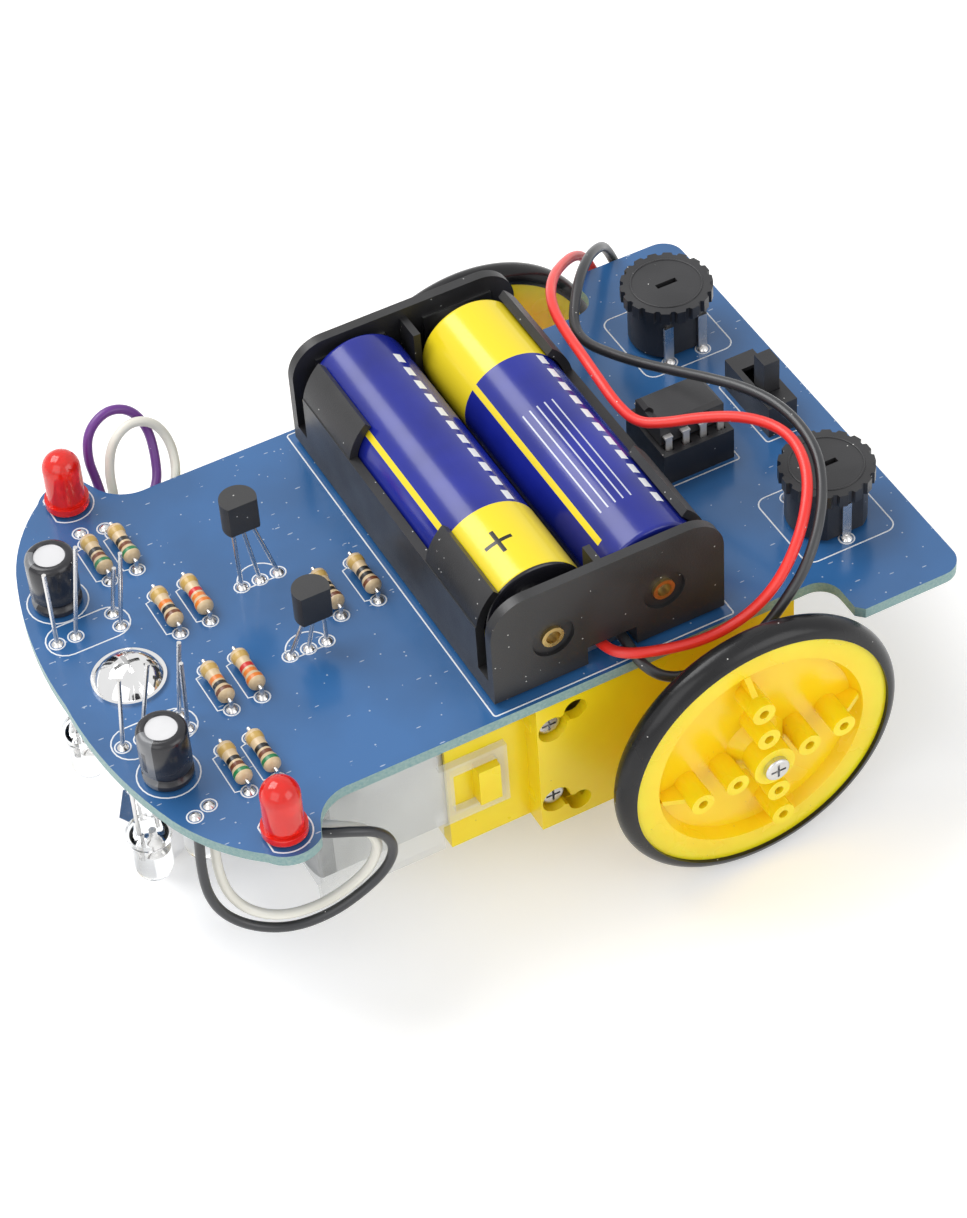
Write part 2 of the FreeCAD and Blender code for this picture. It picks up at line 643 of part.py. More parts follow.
def case_block():
    """The whole gearbox as one block, before it is cut in two halves."""
    case = box(BOX_REAR, BOX_FRONT, BOX_IN, BOX_OUT, BOX_LOW, BOX_TOP)
    neck = box(BOX_FRONT - 1, NECK_FRONT, BOX_IN, NECK_OUT,
               AXLE_Z - NECK_HIGH / 2, AXLE_Z + NECK_HIGH / 2)
    case = case.fuse(neck)
    cavity = box(BOX_REAR + BOX_WALL, BOX_FRONT - BOX_WALL, CAVITY_IN, CAVITY_OUT,
                 BOX_LOW + BOX_WALL, BOX_TOP - BOX_WALL)
    case = case.cut(cavity)
    bed_flat = CAN_FLAT + 2 * CAN_GAP
    case = case.cut(flat_can(CAN_R + CAN_GAP, bed_flat, CAN_REAR - CAN_GAP, NECK_FRONT + 1))
    case = case.cut(xrod(PINION_TIP_R + 0.5, BOX_FRONT - 3, CAN_REAR, MOTOR_Y, AXLE_Z))
    for x, z, up in screw_places():
        case = case.fuse(yrod(2.4, CAVITY_IN, CAVITY_OUT, x, z))
    rear_boss = yrod(SHAFT_R + 1.2, CAVITY_IN, SPLIT_Y - PLAY, AXLE_X, AXLE_Z)
    front_boss = yrod(SHAFT_R + 1.2, CAVITY_IN, SPLIT_Y - PLAY, CROWN_X, AXLE_Z)
    collar = yrod(OUTPUT_R + 1.6, BOX_OUT, BOX_OUT + 0.6, AXLE_X, AXLE_Z)
    case = case.multiFuse([rear_boss, front_boss, collar])
    case = case.cut(yrod(OUTPUT_R + RUNNING_GAP, CAVITY_OUT - 1, BOX_OUT + 2, AXLE_X, AXLE_Z))
    case = case.cut(yrod(SHAFT_R + RUNNING_GAP, CAVITY_IN + 0.2, SPLIT_Y, AXLE_X, AXLE_Z))
    for x, z, y0 in ((CROWN_X, AXLE_Z, BOX_IN + 0.5), (IDLER_X, IDLER_Z, CAVITY_OUT - 1)):
        case = case.cut(yrod(SHAFT_R + RUNNING_GAP, y0, BOX_OUT - 0.5, x, z))
    return case


def case_outer():
    half = case_block().common(box(-60, 60, SPLIT_Y, 60, 0, 60))
    for x, z, up in screw_places():
        half = half.cut(yrod(CASE_SCREW_HEAD_R + 0.3, BOX_OUT - HEAD_PIT, BOX_OUT + 1, x, z))
        half = half.cut(yrod(1.6, BOX_OUT - HEAD_PIT, BOX_OUT + 1, x - 3.3, z + up * 1.9))
        slot = box(-3.3, 0, BOX_OUT - HEAD_PIT, BOX_OUT + 1, -0.8, 0.8)
        slot.rotate(Vector(0, 0, 0), Vector(0, 1, 0), up * 30)
        slot.translate(Vector(x, 0, z))
        half = half.cut(slot)
        half = half.cut(yrod(CASE_SCREW_R + RUNNING_GAP, SPLIT_Y - 1, BOX_OUT, x, z))
    lug = box(NECK_FRONT - 6.6, NECK_FRONT - 3.6, NECK_OUT, NECK_OUT + 2.0,
              AXLE_Z - 3.0, AXLE_Z + 3.0)
    return half.fuse(lug).removeSplitter()


def case_inner():
    half = case_block().common(box(-60, 60, -1, SPLIT_Y, 0, 60))
    for x, z, up in screw_places():
        half = half.cut(yrod(CASE_SCREW_R + RUNNING_GAP, BOX_IN + 2, SPLIT_Y + 1, x, z))
    lug = box(NECK_FRONT - 6.6, NECK_FRONT - 3.6, BOX_IN - 2.0, BOX_IN,
              AXLE_Z - 3.0, AXLE_Z + 3.0)
    return half.fuse(lug).removeSplitter()


def case_screws():
    """Two screws in each gearbox, four in all."""
    screws = []
    seat = BOX_OUT - HEAD_PIT
    for name, side in SIDES:
        for x, z, up in screw_places():
            head = yrod(CASE_SCREW_HEAD_R, seat, seat + 1.3, x, z)
            head = head.makeFillet(0.5, [head.Edges[0]])
            head = head.cut(cross_recess((x, seat + 1.3, z), "y", 1.0, 0.7))
            shank = yrod(CASE_SCREW_R, BOX_IN + 2.5, seat, x, z)
            screws.append(mirrored(head.fuse(shank), side))
    return Part.makeCompound(screws)


def foam_pads():
    """Double sided foam: one pad on each gearbox and one under the holder."""
    pads = [box(HOLDER_REAR + 1.5, HOLDER_FRONT - 1.5, -HOLDER_HALF + 1.5, 19.0,
                BOARD_TOP, HOLDER_LOW)]
    for name, side in SIDES:
        pad = box(BOX_REAR + 1, BOX_FRONT - 0.3, BOX_IN + 0.5, BOX_OUT - 0.2,
                  BOX_TOP, BOARD_LOW)
        pads.append(mirrored(pad, side))
    return Part.makeCompound(pads)


# Wheels

def wheel_profile():
    """Half section of the rim and dish, as radius and place along the axle."""
    back = WHEEL_BACK
    face = WHEEL_FACE
    return (
        (0, DISH_FLOOR - WEB_THICK), (DISH_R - 0.6, DISH_FLOOR - WEB_THICK), (DISH_R, back),
        (RIM_R, back), (RIM_R, back + LIP), (GROOVE_R, back + LIP), (GROOVE_R, face - LIP),
        (RIM_R, face - LIP), (RIM_R, face), (DISH_R + DISH_SLOPE, face),
        (DISH_R, DISH_FLOOR), (0, DISH_FLOOR),
    )


def rim_and_dish():
    points = [Vector(AXLE_X + r, y, AXLE_Z) for r, y in wheel_profile()]
    points.append(points[0])
    face = Part.Face(Part.makePolygon(points))
    return face.revolve(Vector(AXLE_X, 0, AXLE_Z), Vector(0, 1, 0), 360)


def wheel_post(r, turn):
    """One post of the dish, with a bore, turned round the axle."""
    top = WHEEL_FACE + POST_PROUD
    post = yrod(POST_R, DISH_FLOOR, top, AXLE_X, AXLE_Z + r)
    post = post.cut(yrod(POST_BORE_R, DISH_FLOOR + 0.5, top + 1, AXLE_X, AXLE_Z + r))
    post.rotate(Vector(AXLE_X, 0, AXLE_Z), Vector(0, 1, 0), turn)
    return post


def wheel_spoke(turn):
    """The thin rib from an outer post to the rim."""
    x0 = AXLE_X - SPOKE_THICK / 2
    z0 = AXLE_Z + POST_OUTER + POST_R * 0.8
    z1 = AXLE_Z + DISH_R + 0.4
    points = [
        (x0, DISH_FLOOR, z0), (x0, DISH_FLOOR, z1), (x0, WHEEL_FACE - 0.2, z1),
        (x0, WHEEL_FACE + POST_PROUD - 1.6, z0),
    ]
    spoke = prism(points, (SPOKE_THICK, 0, 0))
    spoke.rotate(Vector(AXLE_X, 0, AXLE_Z), Vector(0, 1, 0), turn)
    return spoke


def wheel():
    body = rim_and_dish()
    extras = [
        yrod(HUB_R, DISH_FLOOR, HUB_FACE, AXLE_X, AXLE_Z),
        Part.makeCone(HUB_FOOT_R, HUB_R, 1.6, Vector(AXLE_X, DISH_FLOOR, AXLE_Z), Vector(0, 1, 0)),
        yrod(HUB_BACK_R, BOX_OUT + 1.2, DISH_FLOOR - WEB_THICK, AXLE_X, AXLE_Z),
    ]
    body = body.multiFuse(extras)
    flat = OUTPUT_FLAT / 2 + RUNNING_GAP
    socket = yrod(OUTPUT_R + RUNNING_GAP, BOX_OUT + 1, DISH_FLOOR, AXLE_X, AXLE_Z)
    socket = socket.common(box(AXLE_X - 5, AXLE_X + 5, BOX_OUT, 60, AXLE_Z - flat, AXLE_Z + flat))
    body = body.cut(socket)
    for k in range(4):
        turn = POST_TURN + 90 * k
        body = body.fuse(wheel_post(POST_INNER, turn))
        body = body.fuse(wheel_post(POST_OUTER, turn))
        body = body.fuse(wheel_spoke(turn))
    return body.cut(yrod(WHEEL_SCREW_R + 0.2, DISH_FLOOR - 1, HUB_FACE + 1, AXLE_X, AXLE_Z))


def tyre():
    ring = Part.makeTorus(TYRE_RING_R, TYRE_TUBE_R, Vector(AXLE_X, TYRE_Y, AXLE_Z), Vector(0, 1, 0))
    gap = 0.02
    core = yrod(RIM_R + gap, WHEEL_BACK - gap, WHEEL_BACK + LIP + gap, AXLE_X, AXLE_Z)
    core = core.fuse(yrod(RIM_R + gap, WHEEL_FACE - LIP - gap, WHEEL_FACE + 3, AXLE_X, AXLE_Z))
    core = core.fuse(yrod(GROOVE_R + gap, WHEEL_BACK, WHEEL_FACE, AXLE_X, AXLE_Z))
    core = core.fuse(yrod(RIM_R + gap, WHEEL_BACK - 3, WHEEL_BACK, AXLE_X, AXLE_Z))
    return ring.cut(core)


def wheel_screw():
    head = yrod(WHEEL_SCREW_HEAD_R, HUB_FACE, HUB_FACE + WHEEL_SCREW_HEAD, AXLE_X, AXLE_Z)
    head = head.makeFillet(0.35, [head.Edges[0]])
    recess = cross_recess((AXLE_X, HUB_FACE + WHEEL_SCREW_HEAD, AXLE_Z), "y", 1.05, 0.6)
    shank = yrod(WHEEL_SCREW_R, HUB_FACE - WHEEL_SCREW_LEN, HUB_FACE, AXLE_X, AXLE_Z)
    return head.cut(recess).fuse(shank)


# Skid

def skid_screw():
    """A domed head on a thin flange, with its shank down to the cap nut."""
    top = BOARD_TOP + SKID_HEAD
    low = BOARD_TOP + SKID_FLANGE
    dome = Part.makeSphere(SKID_CROWN_R, Vector(SKID_X, 0, top - SKID_CROWN_R))
    dome = dome.common(box(SKID_X - 9, SKID_X + 9, -9, 9, low, top + 1))
    head = zrod(SKID_HEAD_R, BOARD_TOP, low, SKID_X, 0).fuse(dome)
    head = head.cut(cross_recess((SKID_X, 0, top), "z", 1.7, 1.3))
    return head.fuse(zrod(SKID_SCREW_R, SKID_DOME_R, BOARD_TOP, SKID_X, 0))


def skid_nut():
    nut = hexagon(SKID_NUT_AF, SKID_NUT_LOW, BOARD_LOW, SKID_X, 0)
    return nut.cut(zrod(SKID_SCREW_R + RUNNING_GAP, SKID_NUT_LOW - 1, BOARD_LOW + 1, SKID_X, 0))


def skid_cap_nut():
    top = SKID_DOME_R + CAP_NUT_HEX
    dome = Part.makeSphere(SKID_DOME_R, Vector(SKID_X, 0, SKID_DOME_R))
    dome = dome.common(box(SKID_X - 9, SKID_X + 9, -9, 9, 0, SKID_DOME_R))
    nut = hexagon(SKID_NUT_AF, SKID_DOME_R, top, SKID_X, 0).fuse(dome)
    return nut.cut(zrod(SKID_SCREW_R + RUNNING_GAP, SKID_DOME_R - 0.3, top + 1, SKID_X, 0))


# Parts on the board

def lamp(x, y, low, up):
    """A 5 mm domed lamp on its flange; up is 1 for upright and -1 for hanging."""
    flange = Part.makeCylinder(LED_FLANGE_R, LED_FLANGE, Vector(x, y, low), Vector(0, 0, up))
    straight = LED_LEN - LED_R
    body = Part.makeCylinder(LED_R, straight, Vector(x, y, low), Vector(0, 0, up))
    dome = Part.makeSphere(LED_R, Vector(x, y, low + up * straight))
    return flange.multiFuse([body, dome]).removeSplitter()


def capacitor(x, y):
    can = zrod(CAPACITOR_R, BOARD_TOP, BOARD_TOP + CAPACITOR_UP, x, y)
    can = can.makeFillet(0.5, [can.Edges[0]])
    waist = Part.makeTorus(CAPACITOR_R + 0.45, 0.7, Vector(x, y, BOARD_TOP + 1.5), Vector(0, 0, 1))
    return can.cut(waist)


def resistor_places():
    for side in (1, -1):
        for x, y in RESISTOR_PLACES:
            yield x, side * y
    for x in RESISTOR_MIDDLE_X:
        yield x, 0.2


def resistors():
    """Bodies with thicker end caps, lying along Y."""
    bodies = []
    z = BOARD_TOP + RESISTOR_UP
    half = RESISTOR_LEN / 2
    for x, y in resistor_places():
        core = yrod(RESISTOR_R * 0.84, y - half, y + half, x, z)
        left = yrod(RESISTOR_R, y + half - RESISTOR_END, y + half, x, z)
        right = yrod(RESISTOR_R, y - half, y - half + RESISTOR_END, x, z)
        bodies.append(core.multiFuse([left, right]))
    return Part.makeCompound(bodies)


def transistor_body(name, side):
    """A flat faced plastic body on long leads, the flat towards the left."""
    y = side * TRANSISTOR_Y
    low = BOARD_TOP + TRANSISTOR_UP[name]
    x = TRANSISTOR_X + TRANSISTOR_LEAN[name]
    r = TRANSISTOR_WIDE / 2
    round_part = zrod(r, low, low + TRANSISTOR_HIGH, x, y)
    flat_y = y + TRANSISTOR_DEEP - r
    return round_part.common(box(x - r, x + r, y - r, flat_y, low, low + TRANSISTOR_HIGH))


def sensor_places():
    for name, side in SIDES:
        yield name, side, "front", SENSOR_FRONT_X, (1, 0)
        yield name, side, "rear", SENSOR_REAR_X, (0, 1)


def tinned_leads():
    """All bare leads: resistor ends, transistor legs, sensor and lamp legs."""
    leads = []
    z = BOARD_TOP + RESISTOR_UP
    for x, y in resistor_places():
        for s in (1, -1):
            inner = y + s * RESISTOR_LEN / 2
            pad = y + s * PAD_PITCH / 2
            flat = rod(LEAD_R, (x, inner, z), (x, pad + s * LEAD_R, z))
            leads.append(flat.fuse(rod(LEAD_R, (x, pad, BOARD_TOP), (x, pad, z))))
    for name, side in SIDES:
        low = BOARD_TOP + TRANSISTOR_UP[name]
        lean = TRANSISTOR_LEAN[name]
        for k in (-1, 0, 1):
            foot = (TRANSISTOR_X + k * LEAD_PITCH, side * TRANSISTOR_Y, BOARD_TOP + LEAN_GAP)
            head = (TRANSISTOR_X + lean + k * LEAD_PITCH / 2, side * TRANSISTOR_Y, low - LEAN_GAP)
            leads.append(rod(LEAD_R, foot, head))
    flange_top = BOARD_TOP - SENSOR_HANG + LED_LEN
    for name, side, row, x, (dx, dy) in sensor_places():
        for s, tip in zip((1, -1), SENSOR_TIPS[(name, row)]):
            px = x + s * dx * LEAD_PITCH / 2
            py = side * SENSOR_Y + s * dy * LEAD_PITCH / 2
            foot = (px, py, BOARD_TOP + LEAN_GAP)
            leads.append(rod(LEAD_R, foot, (px + tip[0], py + tip[1], BOARD_TOP + tip[2])))
            leads.append(rod(LEAD_R, (px, py, flange_top), (px, py, BOARD_LOW)))
    for side in (1, -1):
        for s in (1, -1):
            leads.append(zrod(LEAD_R, BOARD_TOP, LED_LOW, LED_X + s * LEAD_PITCH / 2, side * LED_Y))
    return Part.makeCompound(leads)


def hanging_lamps(wanted):
    flange_top = BOARD_TOP - SENSOR_HANG + LED_LEN
    shapes = [lamp(x, side * SENSOR_Y, flange_top, -1)
              for name, side, row, x, turn in sensor_places() if row == wanted]
    return Part.makeCompound(shapes)


def chip_socket():
    """An open frame with a row of contact wells along each long side."""
    x0 = SOCKET_X - SOCKET_LEN / 2
    x1 = SOCKET_X + SOCKET_LEN / 2
    half = SOCKET_WIDE / 2
    top = BOARD_TOP + SOCKET_HIGH
    frame = box(x0, x1, -half, half, BOARD_TOP, top)
    inner = half - SOCKET_WALL
    frame = frame.cut(box(x0 + 1.4, x1 - 1.4, -inner, inner, BOARD_TOP - 1, top + 1))
    for k in range(4):
        x = SOCKET_X + (k - 1.5) * LEAD_PITCH
        for s in (1, -1):
            y = s * PAD_PITCH / 2
            frame = frame.cut(box(x - 0.6, x + 0.6, y - 0.45, y + 0.45, top - 2.2, top + 1))
    return frame


def comparator_chip():
    """The eight legged chip plugged into the socket."""
    low = BOARD_TOP + SOCKET_HIGH + CHIP_STAND
    body = box(SOCKET_X - CHIP_LEN / 2, SOCKET_X + CHIP_LEN / 2,
               -CHIP_WIDE / 2, CHIP_WIDE / 2, low, low + CHIP_HIGH)
    edges = [e for e in body.Edges if e.BoundBox.ZMin > low + CHIP_HIGH - 0.01]
    body = body.makeChamfer(0.55, edges)
    body = body.cut(zrod(0.8, low + CHIP_HIGH - 0.7, low + CHIP_HIGH + 1, SOCKET_X + CHIP_LEN / 2, 0))
    legs = []
    for k in range(4):
        x = SOCKET_X + (k - 1.5) * LEAD_PITCH
        for s in (1, -1):
            y = s * PAD_PITCH / 2
            y_in = s * CHIP_WIDE / 2
            shoulder = box(x - 0.6, x + 0.6, min(y_in, y + s * 0.13), max(y_in, y + s * 0.13),
                           low + 1.3, low + 1.55)
            leg = box(x - 0.45, x + 0.45, y - 0.13, y + 0.13,
                      BOARD_TOP + SOCKET_HIGH - 2.0, low + 1.55)
            legs += [shoulder, leg]
    return body.multiFuse(legs)


def pot_base(y):
    body = zrod(POT_BODY_R, BOARD_TOP + POT_STAND, BOARD_TOP + POT_STAND + POT_BODY_UP, POT_X, y)
    half = POT_PIN_OUT - POT_PIN_THICK
    body = body.common(box(POT_X - 9, POT_X + 9, y - half, y + half, BOARD_TOP, THUMB_LOW))
    hole = zrod(THUMB_PIVOT_R + RUNNING_GAP, BOARD_TOP + POT_STAND + 2, THUMB_LOW + 1, POT_X, y)
    return body.cut(hole)


def thumbwheel(y):
    """A toothed dial with a pivot below and a driver slot on top."""
    top = THUMB_LOW + THUMB_THICK
    points = []
    for k in range(THUMB_TEETH):
        for share, r in ((-0.32, THUMB_R), (0.2, THUMB_R), (0.32, THUMB_R - THUMB_TOOTH),
                         (0.56, THUMB_R - THUMB_TOOTH)):
            a = 2 * math.pi * (k + share) / THUMB_TEETH
            points.append((POT_X + r * math.cos(a), y + r * math.sin(a), THUMB_LOW))
    dial = prism(points, (0, 0, THUMB_THICK))
    dial = dial.cut(box(POT_X - 1.5, POT_X + 1.5, y - 0.4, y + 0.4, top - 0.8, top + 1))
    pivot = zrod(THUMB_PIVOT_R, BOARD_TOP + POT_STAND + 2.3, THUMB_LOW, POT_X, y)
    return dial.fuse(pivot)


def board_pins():
    """Flat pins of both trimmers and the pins of the slide switch."""
    pins = []
    top = BOARD_TOP + POT_STAND + POT_BODY_UP - 1.0
    for name, side in SIDES:
        y = side * POT_Y
        for dx, out in ((-LEAD_PITCH, -side), (LEAD_PITCH, -side), (0, side)):
            y0 = y + out * (POT_PIN_OUT - POT_PIN_THICK)
            y1 = y + out * POT_PIN_OUT
            pins.append(box(POT_X + dx - POT_PIN_WIDE / 2, POT_X + dx + POT_PIN_WIDE / 2,
                            min(y0, y1), max(y0, y1), BOARD_TOP, top))
    for k in (-1, 0, 1):
        pins.append(zrod(0.4, BOARD_LOW - 2.0, BOARD_LOW, SWITCH_X, SWITCH_Y + k * LEAD_PITCH))
    return Part.makeCompound(pins)


def switch_housing():
    half = SWITCH_LEN / 2
    wide = SWITCH_WIDE / 2
    shell = box(SWITCH_X - wide, SWITCH_X + wide, SWITCH_Y - half, SWITCH_Y + half,
                BOARD_TOP, SWITCH_TOP)
    hollow = box(SWITCH_X - wide + SWITCH_WALL, SWITCH_X + wide - SWITCH_WALL,
                 SWITCH_Y - half + SWITCH_WALL, SWITCH_Y + half - SWITCH_WALL,
                 BOARD_TOP + 1.2, SWITCH_TOP - SWITCH_WALL)
    run = (KNOB_LEN + KNOB_TRAVEL) / 2 + RUNNING_GAP * 2
    slot_half = KNOB_WIDE / 2 + RUNNING_GAP * 2
    slot = box(SWITCH_X - slot_half, SWITCH_X + slot_half,
               SWITCH_Y - run, SWITCH_Y + run, BOARD_TOP + 2, SWITCH_TOP + 1)
    return shell.cut(hollow).cut(slot)


def switch_slider():
    """The knob and the foot that keeps it in the housing, at its left stop."""
    y = SWITCH_Y + KNOB_TRAVEL / 2
    knob = box(SWITCH_X - KNOB_WIDE / 2, SWITCH_X + KNOB_WIDE / 2,
               y - KNOB_LEN / 2, y + KNOB_LEN / 2, BOARD_TOP + 2.4, BOARD_TOP + KNOB_UP)
    wide = SWITCH_WIDE / 2 - SWITCH_WALL - RUNNING_GAP * 2
    reach = KNOB_LEN / 2 + 0.6
    foot = box(SWITCH_X - wide, SWITCH_X + wide, y - reach, y + reach,
               BOARD_TOP + 1.2 + RUNNING_GAP * 2, SWITCH_TOP - SWITCH_WALL - RUNNING_GAP * 2)
    return knob.fuse(foot)


# Wires

RED_ROUTE = (
    (-7.0, 25.4, 35.7), (-7.0, 28.0, 36.0), (-8.8, 30.4, 36.4), (-12.8, 31.6, 36.0),
    (-17.8, 32.4, 35.6), (-22.6, 33.1, 36.9), (-26.6, 33.6, 39.9), (-30.1, 33.0, 43.6),
    (-33.8, 30.3, 46.8), (-37.0, 26.0, 48.7), (-38.6, 21.0, 49.2), (-38.3, 16.6, 49.0),
    (-35.6, 12.6, 48.8), (-31.6, 9.4, 48.0), (-27.6, 7.0, 47.0), (-24.9, 4.6, 46.4),
    (-24.0, 1.0, 47.2), (-23.9, -3.4, 48.2), (-24.2, -8.2, 48.4), (-24.9, -13.4, 47.6),
    (-25.9, -18.6, 46.8), (-27.9, -23.6, 45.6), (-30.9, -28.2, 43.7), (-34.4, -32.2, 41.2),
    (-38.0, -35.8, 38.4), (-40.8, -38.2, 35.2), (-42.3, -38.0, 31.6), (-42.8, -36.0, 28.9),
    (-42.9, -33.2, 27.6), (-43.0, -30.4, 27.6), (-43.0, -28.6, 29.5), (-43.0, -28.6, BOARD_LOW),
)
BLACK_ROUTE = (
    (-9.9, 25.4, 35.6), (-9.9, 28.3, 35.5), (-10.1, 31.0, 34.3), (-12.4, 33.2, 32.5),
    (-17.0, 34.0, 31.9), (-21.8, 34.2, 32.9), (-25.7, 34.5, 35.6), (-28.6, 34.7, 39.4),
    (-31.6, 34.2, 42.8), (-34.8, 31.8, 45.6), (-37.8, 28.0, 47.4), (-40.2, 23.2, 48.3),
    (-41.0, 18.0, 48.7), (-40.4, 12.8, 48.9), (-38.7, 7.8, 48.4), (-36.5, 3.0, 47.2),
    (-34.3, -2.0, 45.6), (-32.1, -7.2, 43.9), (-30.4, -12.4, 42.4), (-29.3, -17.0, 41.2),
    (-29.6, -20.6, 41.2), (-31.6, -23.8, 42.2), (-34.3, -27.2, 42.8), (-37.6, -30.8, 42.0),
    (-40.8, -34.2, 39.6), (-43.4, -37.2, 36.6), (-45.0, -38.2, 33.4), (-45.9, -37.2, 30.2),
    (-46.3, -34.6, 28.2), (-46.4, -31.8, 27.7), (-46.4, -29.8, 29.4), (-46.4, -29.8, BOARD_LOW),
)
LEFT_WHITE_ROUTE = (
    (CAP_FRONT, 19.4, 28.5), (34.1, 19.4, 28.5), (35.9, 21.2, 28.9), (36.2, 24.6, 29.3),
    (35.0, 27.8, 28.4), (31.8, 29.9, 28.0), (28.6, 30.8, 26.6), (26.9, 31.0, 23.4),
    (28.0, 30.6, 19.2), (31.0, 29.8, 15.4), (35.2, 28.9, 12.9), (39.6, 27.6, 12.3),
    (43.2, 26.2, 14.2), (45.2, 25.1, 18.0), (45.7, 24.4, 22.6), (45.5, 24.0, 26.6),
    (45.3, 23.8, 29.4), (45.3, 23.8, BOARD_LOW),
)
LEFT_BLACK_ROUTE = (
    (CAP_FRONT, 15.8, 28.5), (34.4, 15.8, 28.5), (36.8, 17.4, 29.0), (38.2, 20.6, 29.8),
    (38.3, 24.6, 29.8), (37.4, 28.0, 29.4), (34.4, 31.0, 29.2), (30.6, 32.2, 28.6),
    (27.0, 32.4, 26.6), (25.4, 32.2, 22.8), (26.4, 31.6, 18.4), (29.6, 30.8, 14.2),
    (34.0, 30.0, 11.2), (38.8, 28.8, 10.2), (43.2, 27.4, 11.6), (46.4, 26.2, 15.2),
    (47.8, 25.4, 20.0), (47.9, 24.9, 25.0), (47.5, 24.6, 29.0), (47.5, 24.6, BOARD_LOW),
)
RIGHT_WHITE_ROUTE = (
    (CAP_FRONT, -19.4, 28.5), (34.1, -19.4, 28.5), (34.9, -21.4, 29.4), (32.4, -23.4, 30.5),
    (28.6, -26.2, 30.8), (25.4, -29.8, 31.0), (23.6, -32.6, 32.8), (23.4, -34.6, 35.8),
    (24.9, -35.7, 38.7), (28.0, -36.0, 39.8), (31.0, -35.3, 38.1), (32.4, -34.0, 35.0),
    (32.7, -32.8, 31.7), (33.4, -30.8, 28.8), (35.2, -28.4, 27.4), (36.6, -26.6, 27.8),
    (36.9, -25.6, 29.9), (36.9, -25.6, BOARD_LOW),
)
RIGHT_PURPLE_ROUTE = (
    (CAP_FRONT, -15.8, 28.5), (34.5, -15.8, 28.5), (36.4, -17.8, 29.2), (36.6, -21.2, 30.2),
    (34.4, -24.8, 30.7), (31.0, -28.0, 30.8), (27.0, -31.4, 31.6), (25.6, -34.6, 33.4),
    (25.2, -37.0, 36.6), (26.8, -38.2, 39.8), (30.0, -38.4, 41.0), (33.2, -37.6, 39.4),
    (34.3, -36.2, 36.2), (33.9, -35.2, 32.8), (34.0, -33.0, 29.6), (35.6, -30.6, 27.6),
    (38.0, -28.4, 27.2), (39.8, -26.9, 28.4), (40.0, -26.4, 29.8), (40.0, -26.4, BOARD_LOW),
)


def tube(name, route, diameter):
    """Straight runs joined by tangent arcs, swept with a round section."""
    points = [Vector(*p) for p in route]
    edges = []
    radii = []
    length = 0.0
    start = points[0]
    for a, b, c in zip(points, points[1:], points[2:]):
        back = (a - b).normalize()
        ahead = (c - b).normalize()
        turn = math.pi - math.acos(max(-1.0, min(1.0, back.dot(ahead))))
        reach = 0.45 * min((a - b).Length, (c - b).Length)
        radius = reach / math.tan(turn / 2)
        first = b + back * reach
        last = b + ahead * reach
        inward = (back + ahead).normalize()
        middle = b + inward * (radius / math.cos(turn / 2) - radius)
        edges.append(Part.LineSegment(start, first).toShape())
        edges.append(Part.Arc(first, middle, last).toShape())
        length += (first - start).Length + radius * turn
        radii.append(round(radius, 1))
        start = last
    edges.append(Part.LineSegment(start, points[-1]).toShape())
    length += (points[-1] - start).Length
    path = Part.Wire(edges)
    section = Part.Wire([Part.makeCircle(diameter / 2, points[0], points[1] - points[0])])
    solid = path.makePipeShell([section], True, False)
    expected = math.pi * diameter ** 2 / 4 * length
    print(name, "length", round(length, 1), "volume ratio", round(solid.Volume / expected, 3),
          "least radius", min(radii), "radii", radii)
    return solid


def save_wires():
    wires = (
        ("battery_wire_red", RED_ROUTE, BATTERY_WIRE_D),
        ("battery_wire_black", BLACK_ROUTE, BATTERY_WIRE_D),
        ("motor_wire_left_white", LEFT_WHITE_ROUTE, MOTOR_WIRE_D),
        ("motor_wire_left_black", LEFT_BLACK_ROUTE, MOTOR_WIRE_D),
        ("motor_wire_right_white", RIGHT_WHITE_ROUTE, MOTOR_WIRE_D),
        ("motor_wire_right_purple", RIGHT_PURPLE_ROUTE, MOTOR_WIRE_D),
    )
    for name, route, diameter in wires:
        save(name, tube(name, route, diameter))


def save_board_parts():
    save("circuit_board", circuit_board())
    save("battery_holder", battery_holder())
    save("holder_rivets", holder_rivets())
    save("holder_contacts", holder_contacts())
    save("battery_front", battery(CELL_FRONT_X, 1))
    save("battery_rear", battery(CELL_REAR_X, -1))
    save("foam_pads", foam_pads())
    save("chip_socket", chip_socket())
    save("comparator_chip", comparator_chip())
    save("switch_housing", switch_housing())
    save("switch_slider", switch_slider())
    save("board_pins", board_pins())
    save("resistors", resistors())
    save("tinned_leads", tinned_leads())
    save("sensor_lamps", hanging_lamps("front"))
    save("light_sensors", hanging_lamps("rear"))
    save("skid_screw", skid_screw())
    save("skid_nut", skid_nut())
    save("skid_cap_nut", skid_cap_nut())
    for name, side in SIDES:
        save("led_" + name, lamp(LED_X, side * LED_Y, LED_LOW, 1))
        save("capacitor_" + name, capacitor(CAPACITOR_X, side * CAPACITOR_Y))
        save("transistor_" + name, transistor_body(name, side))
        save("trimmer_base_" + name, pot_base(side * POT_Y))
        save("trimmer_dial_" + name, thumbwheel(side * POT_Y))


def save_drive_units():
    makers = {
        "gearbox_outer": case_outer, "gearbox_inner": case_inner, "motor_can": motor_can,
        "motor_end_cap": motor_end_cap, "motor_strap": motor_strap, "motor_rotor": rotor,
        "crown_gear": crown_gear, "idler_gear": idler_gear, "output_shaft": output_shaft,
        "wheel": wheel, "tyre": tyre, "wheel_screw": wheel_screw,
    }
    for part, maker in makers.items():
        shape = maker()
        for name, side in SIDES:
            save(part + "_" + name, mirrored(shape, side))
    save("case_screws", case_screws())


os.makedirs("parts", exist_ok=True)
save_board_parts()
save_drive_units()
save_wires()
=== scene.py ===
import json
import math

import bpy
from mathutils import Matrix, Vector

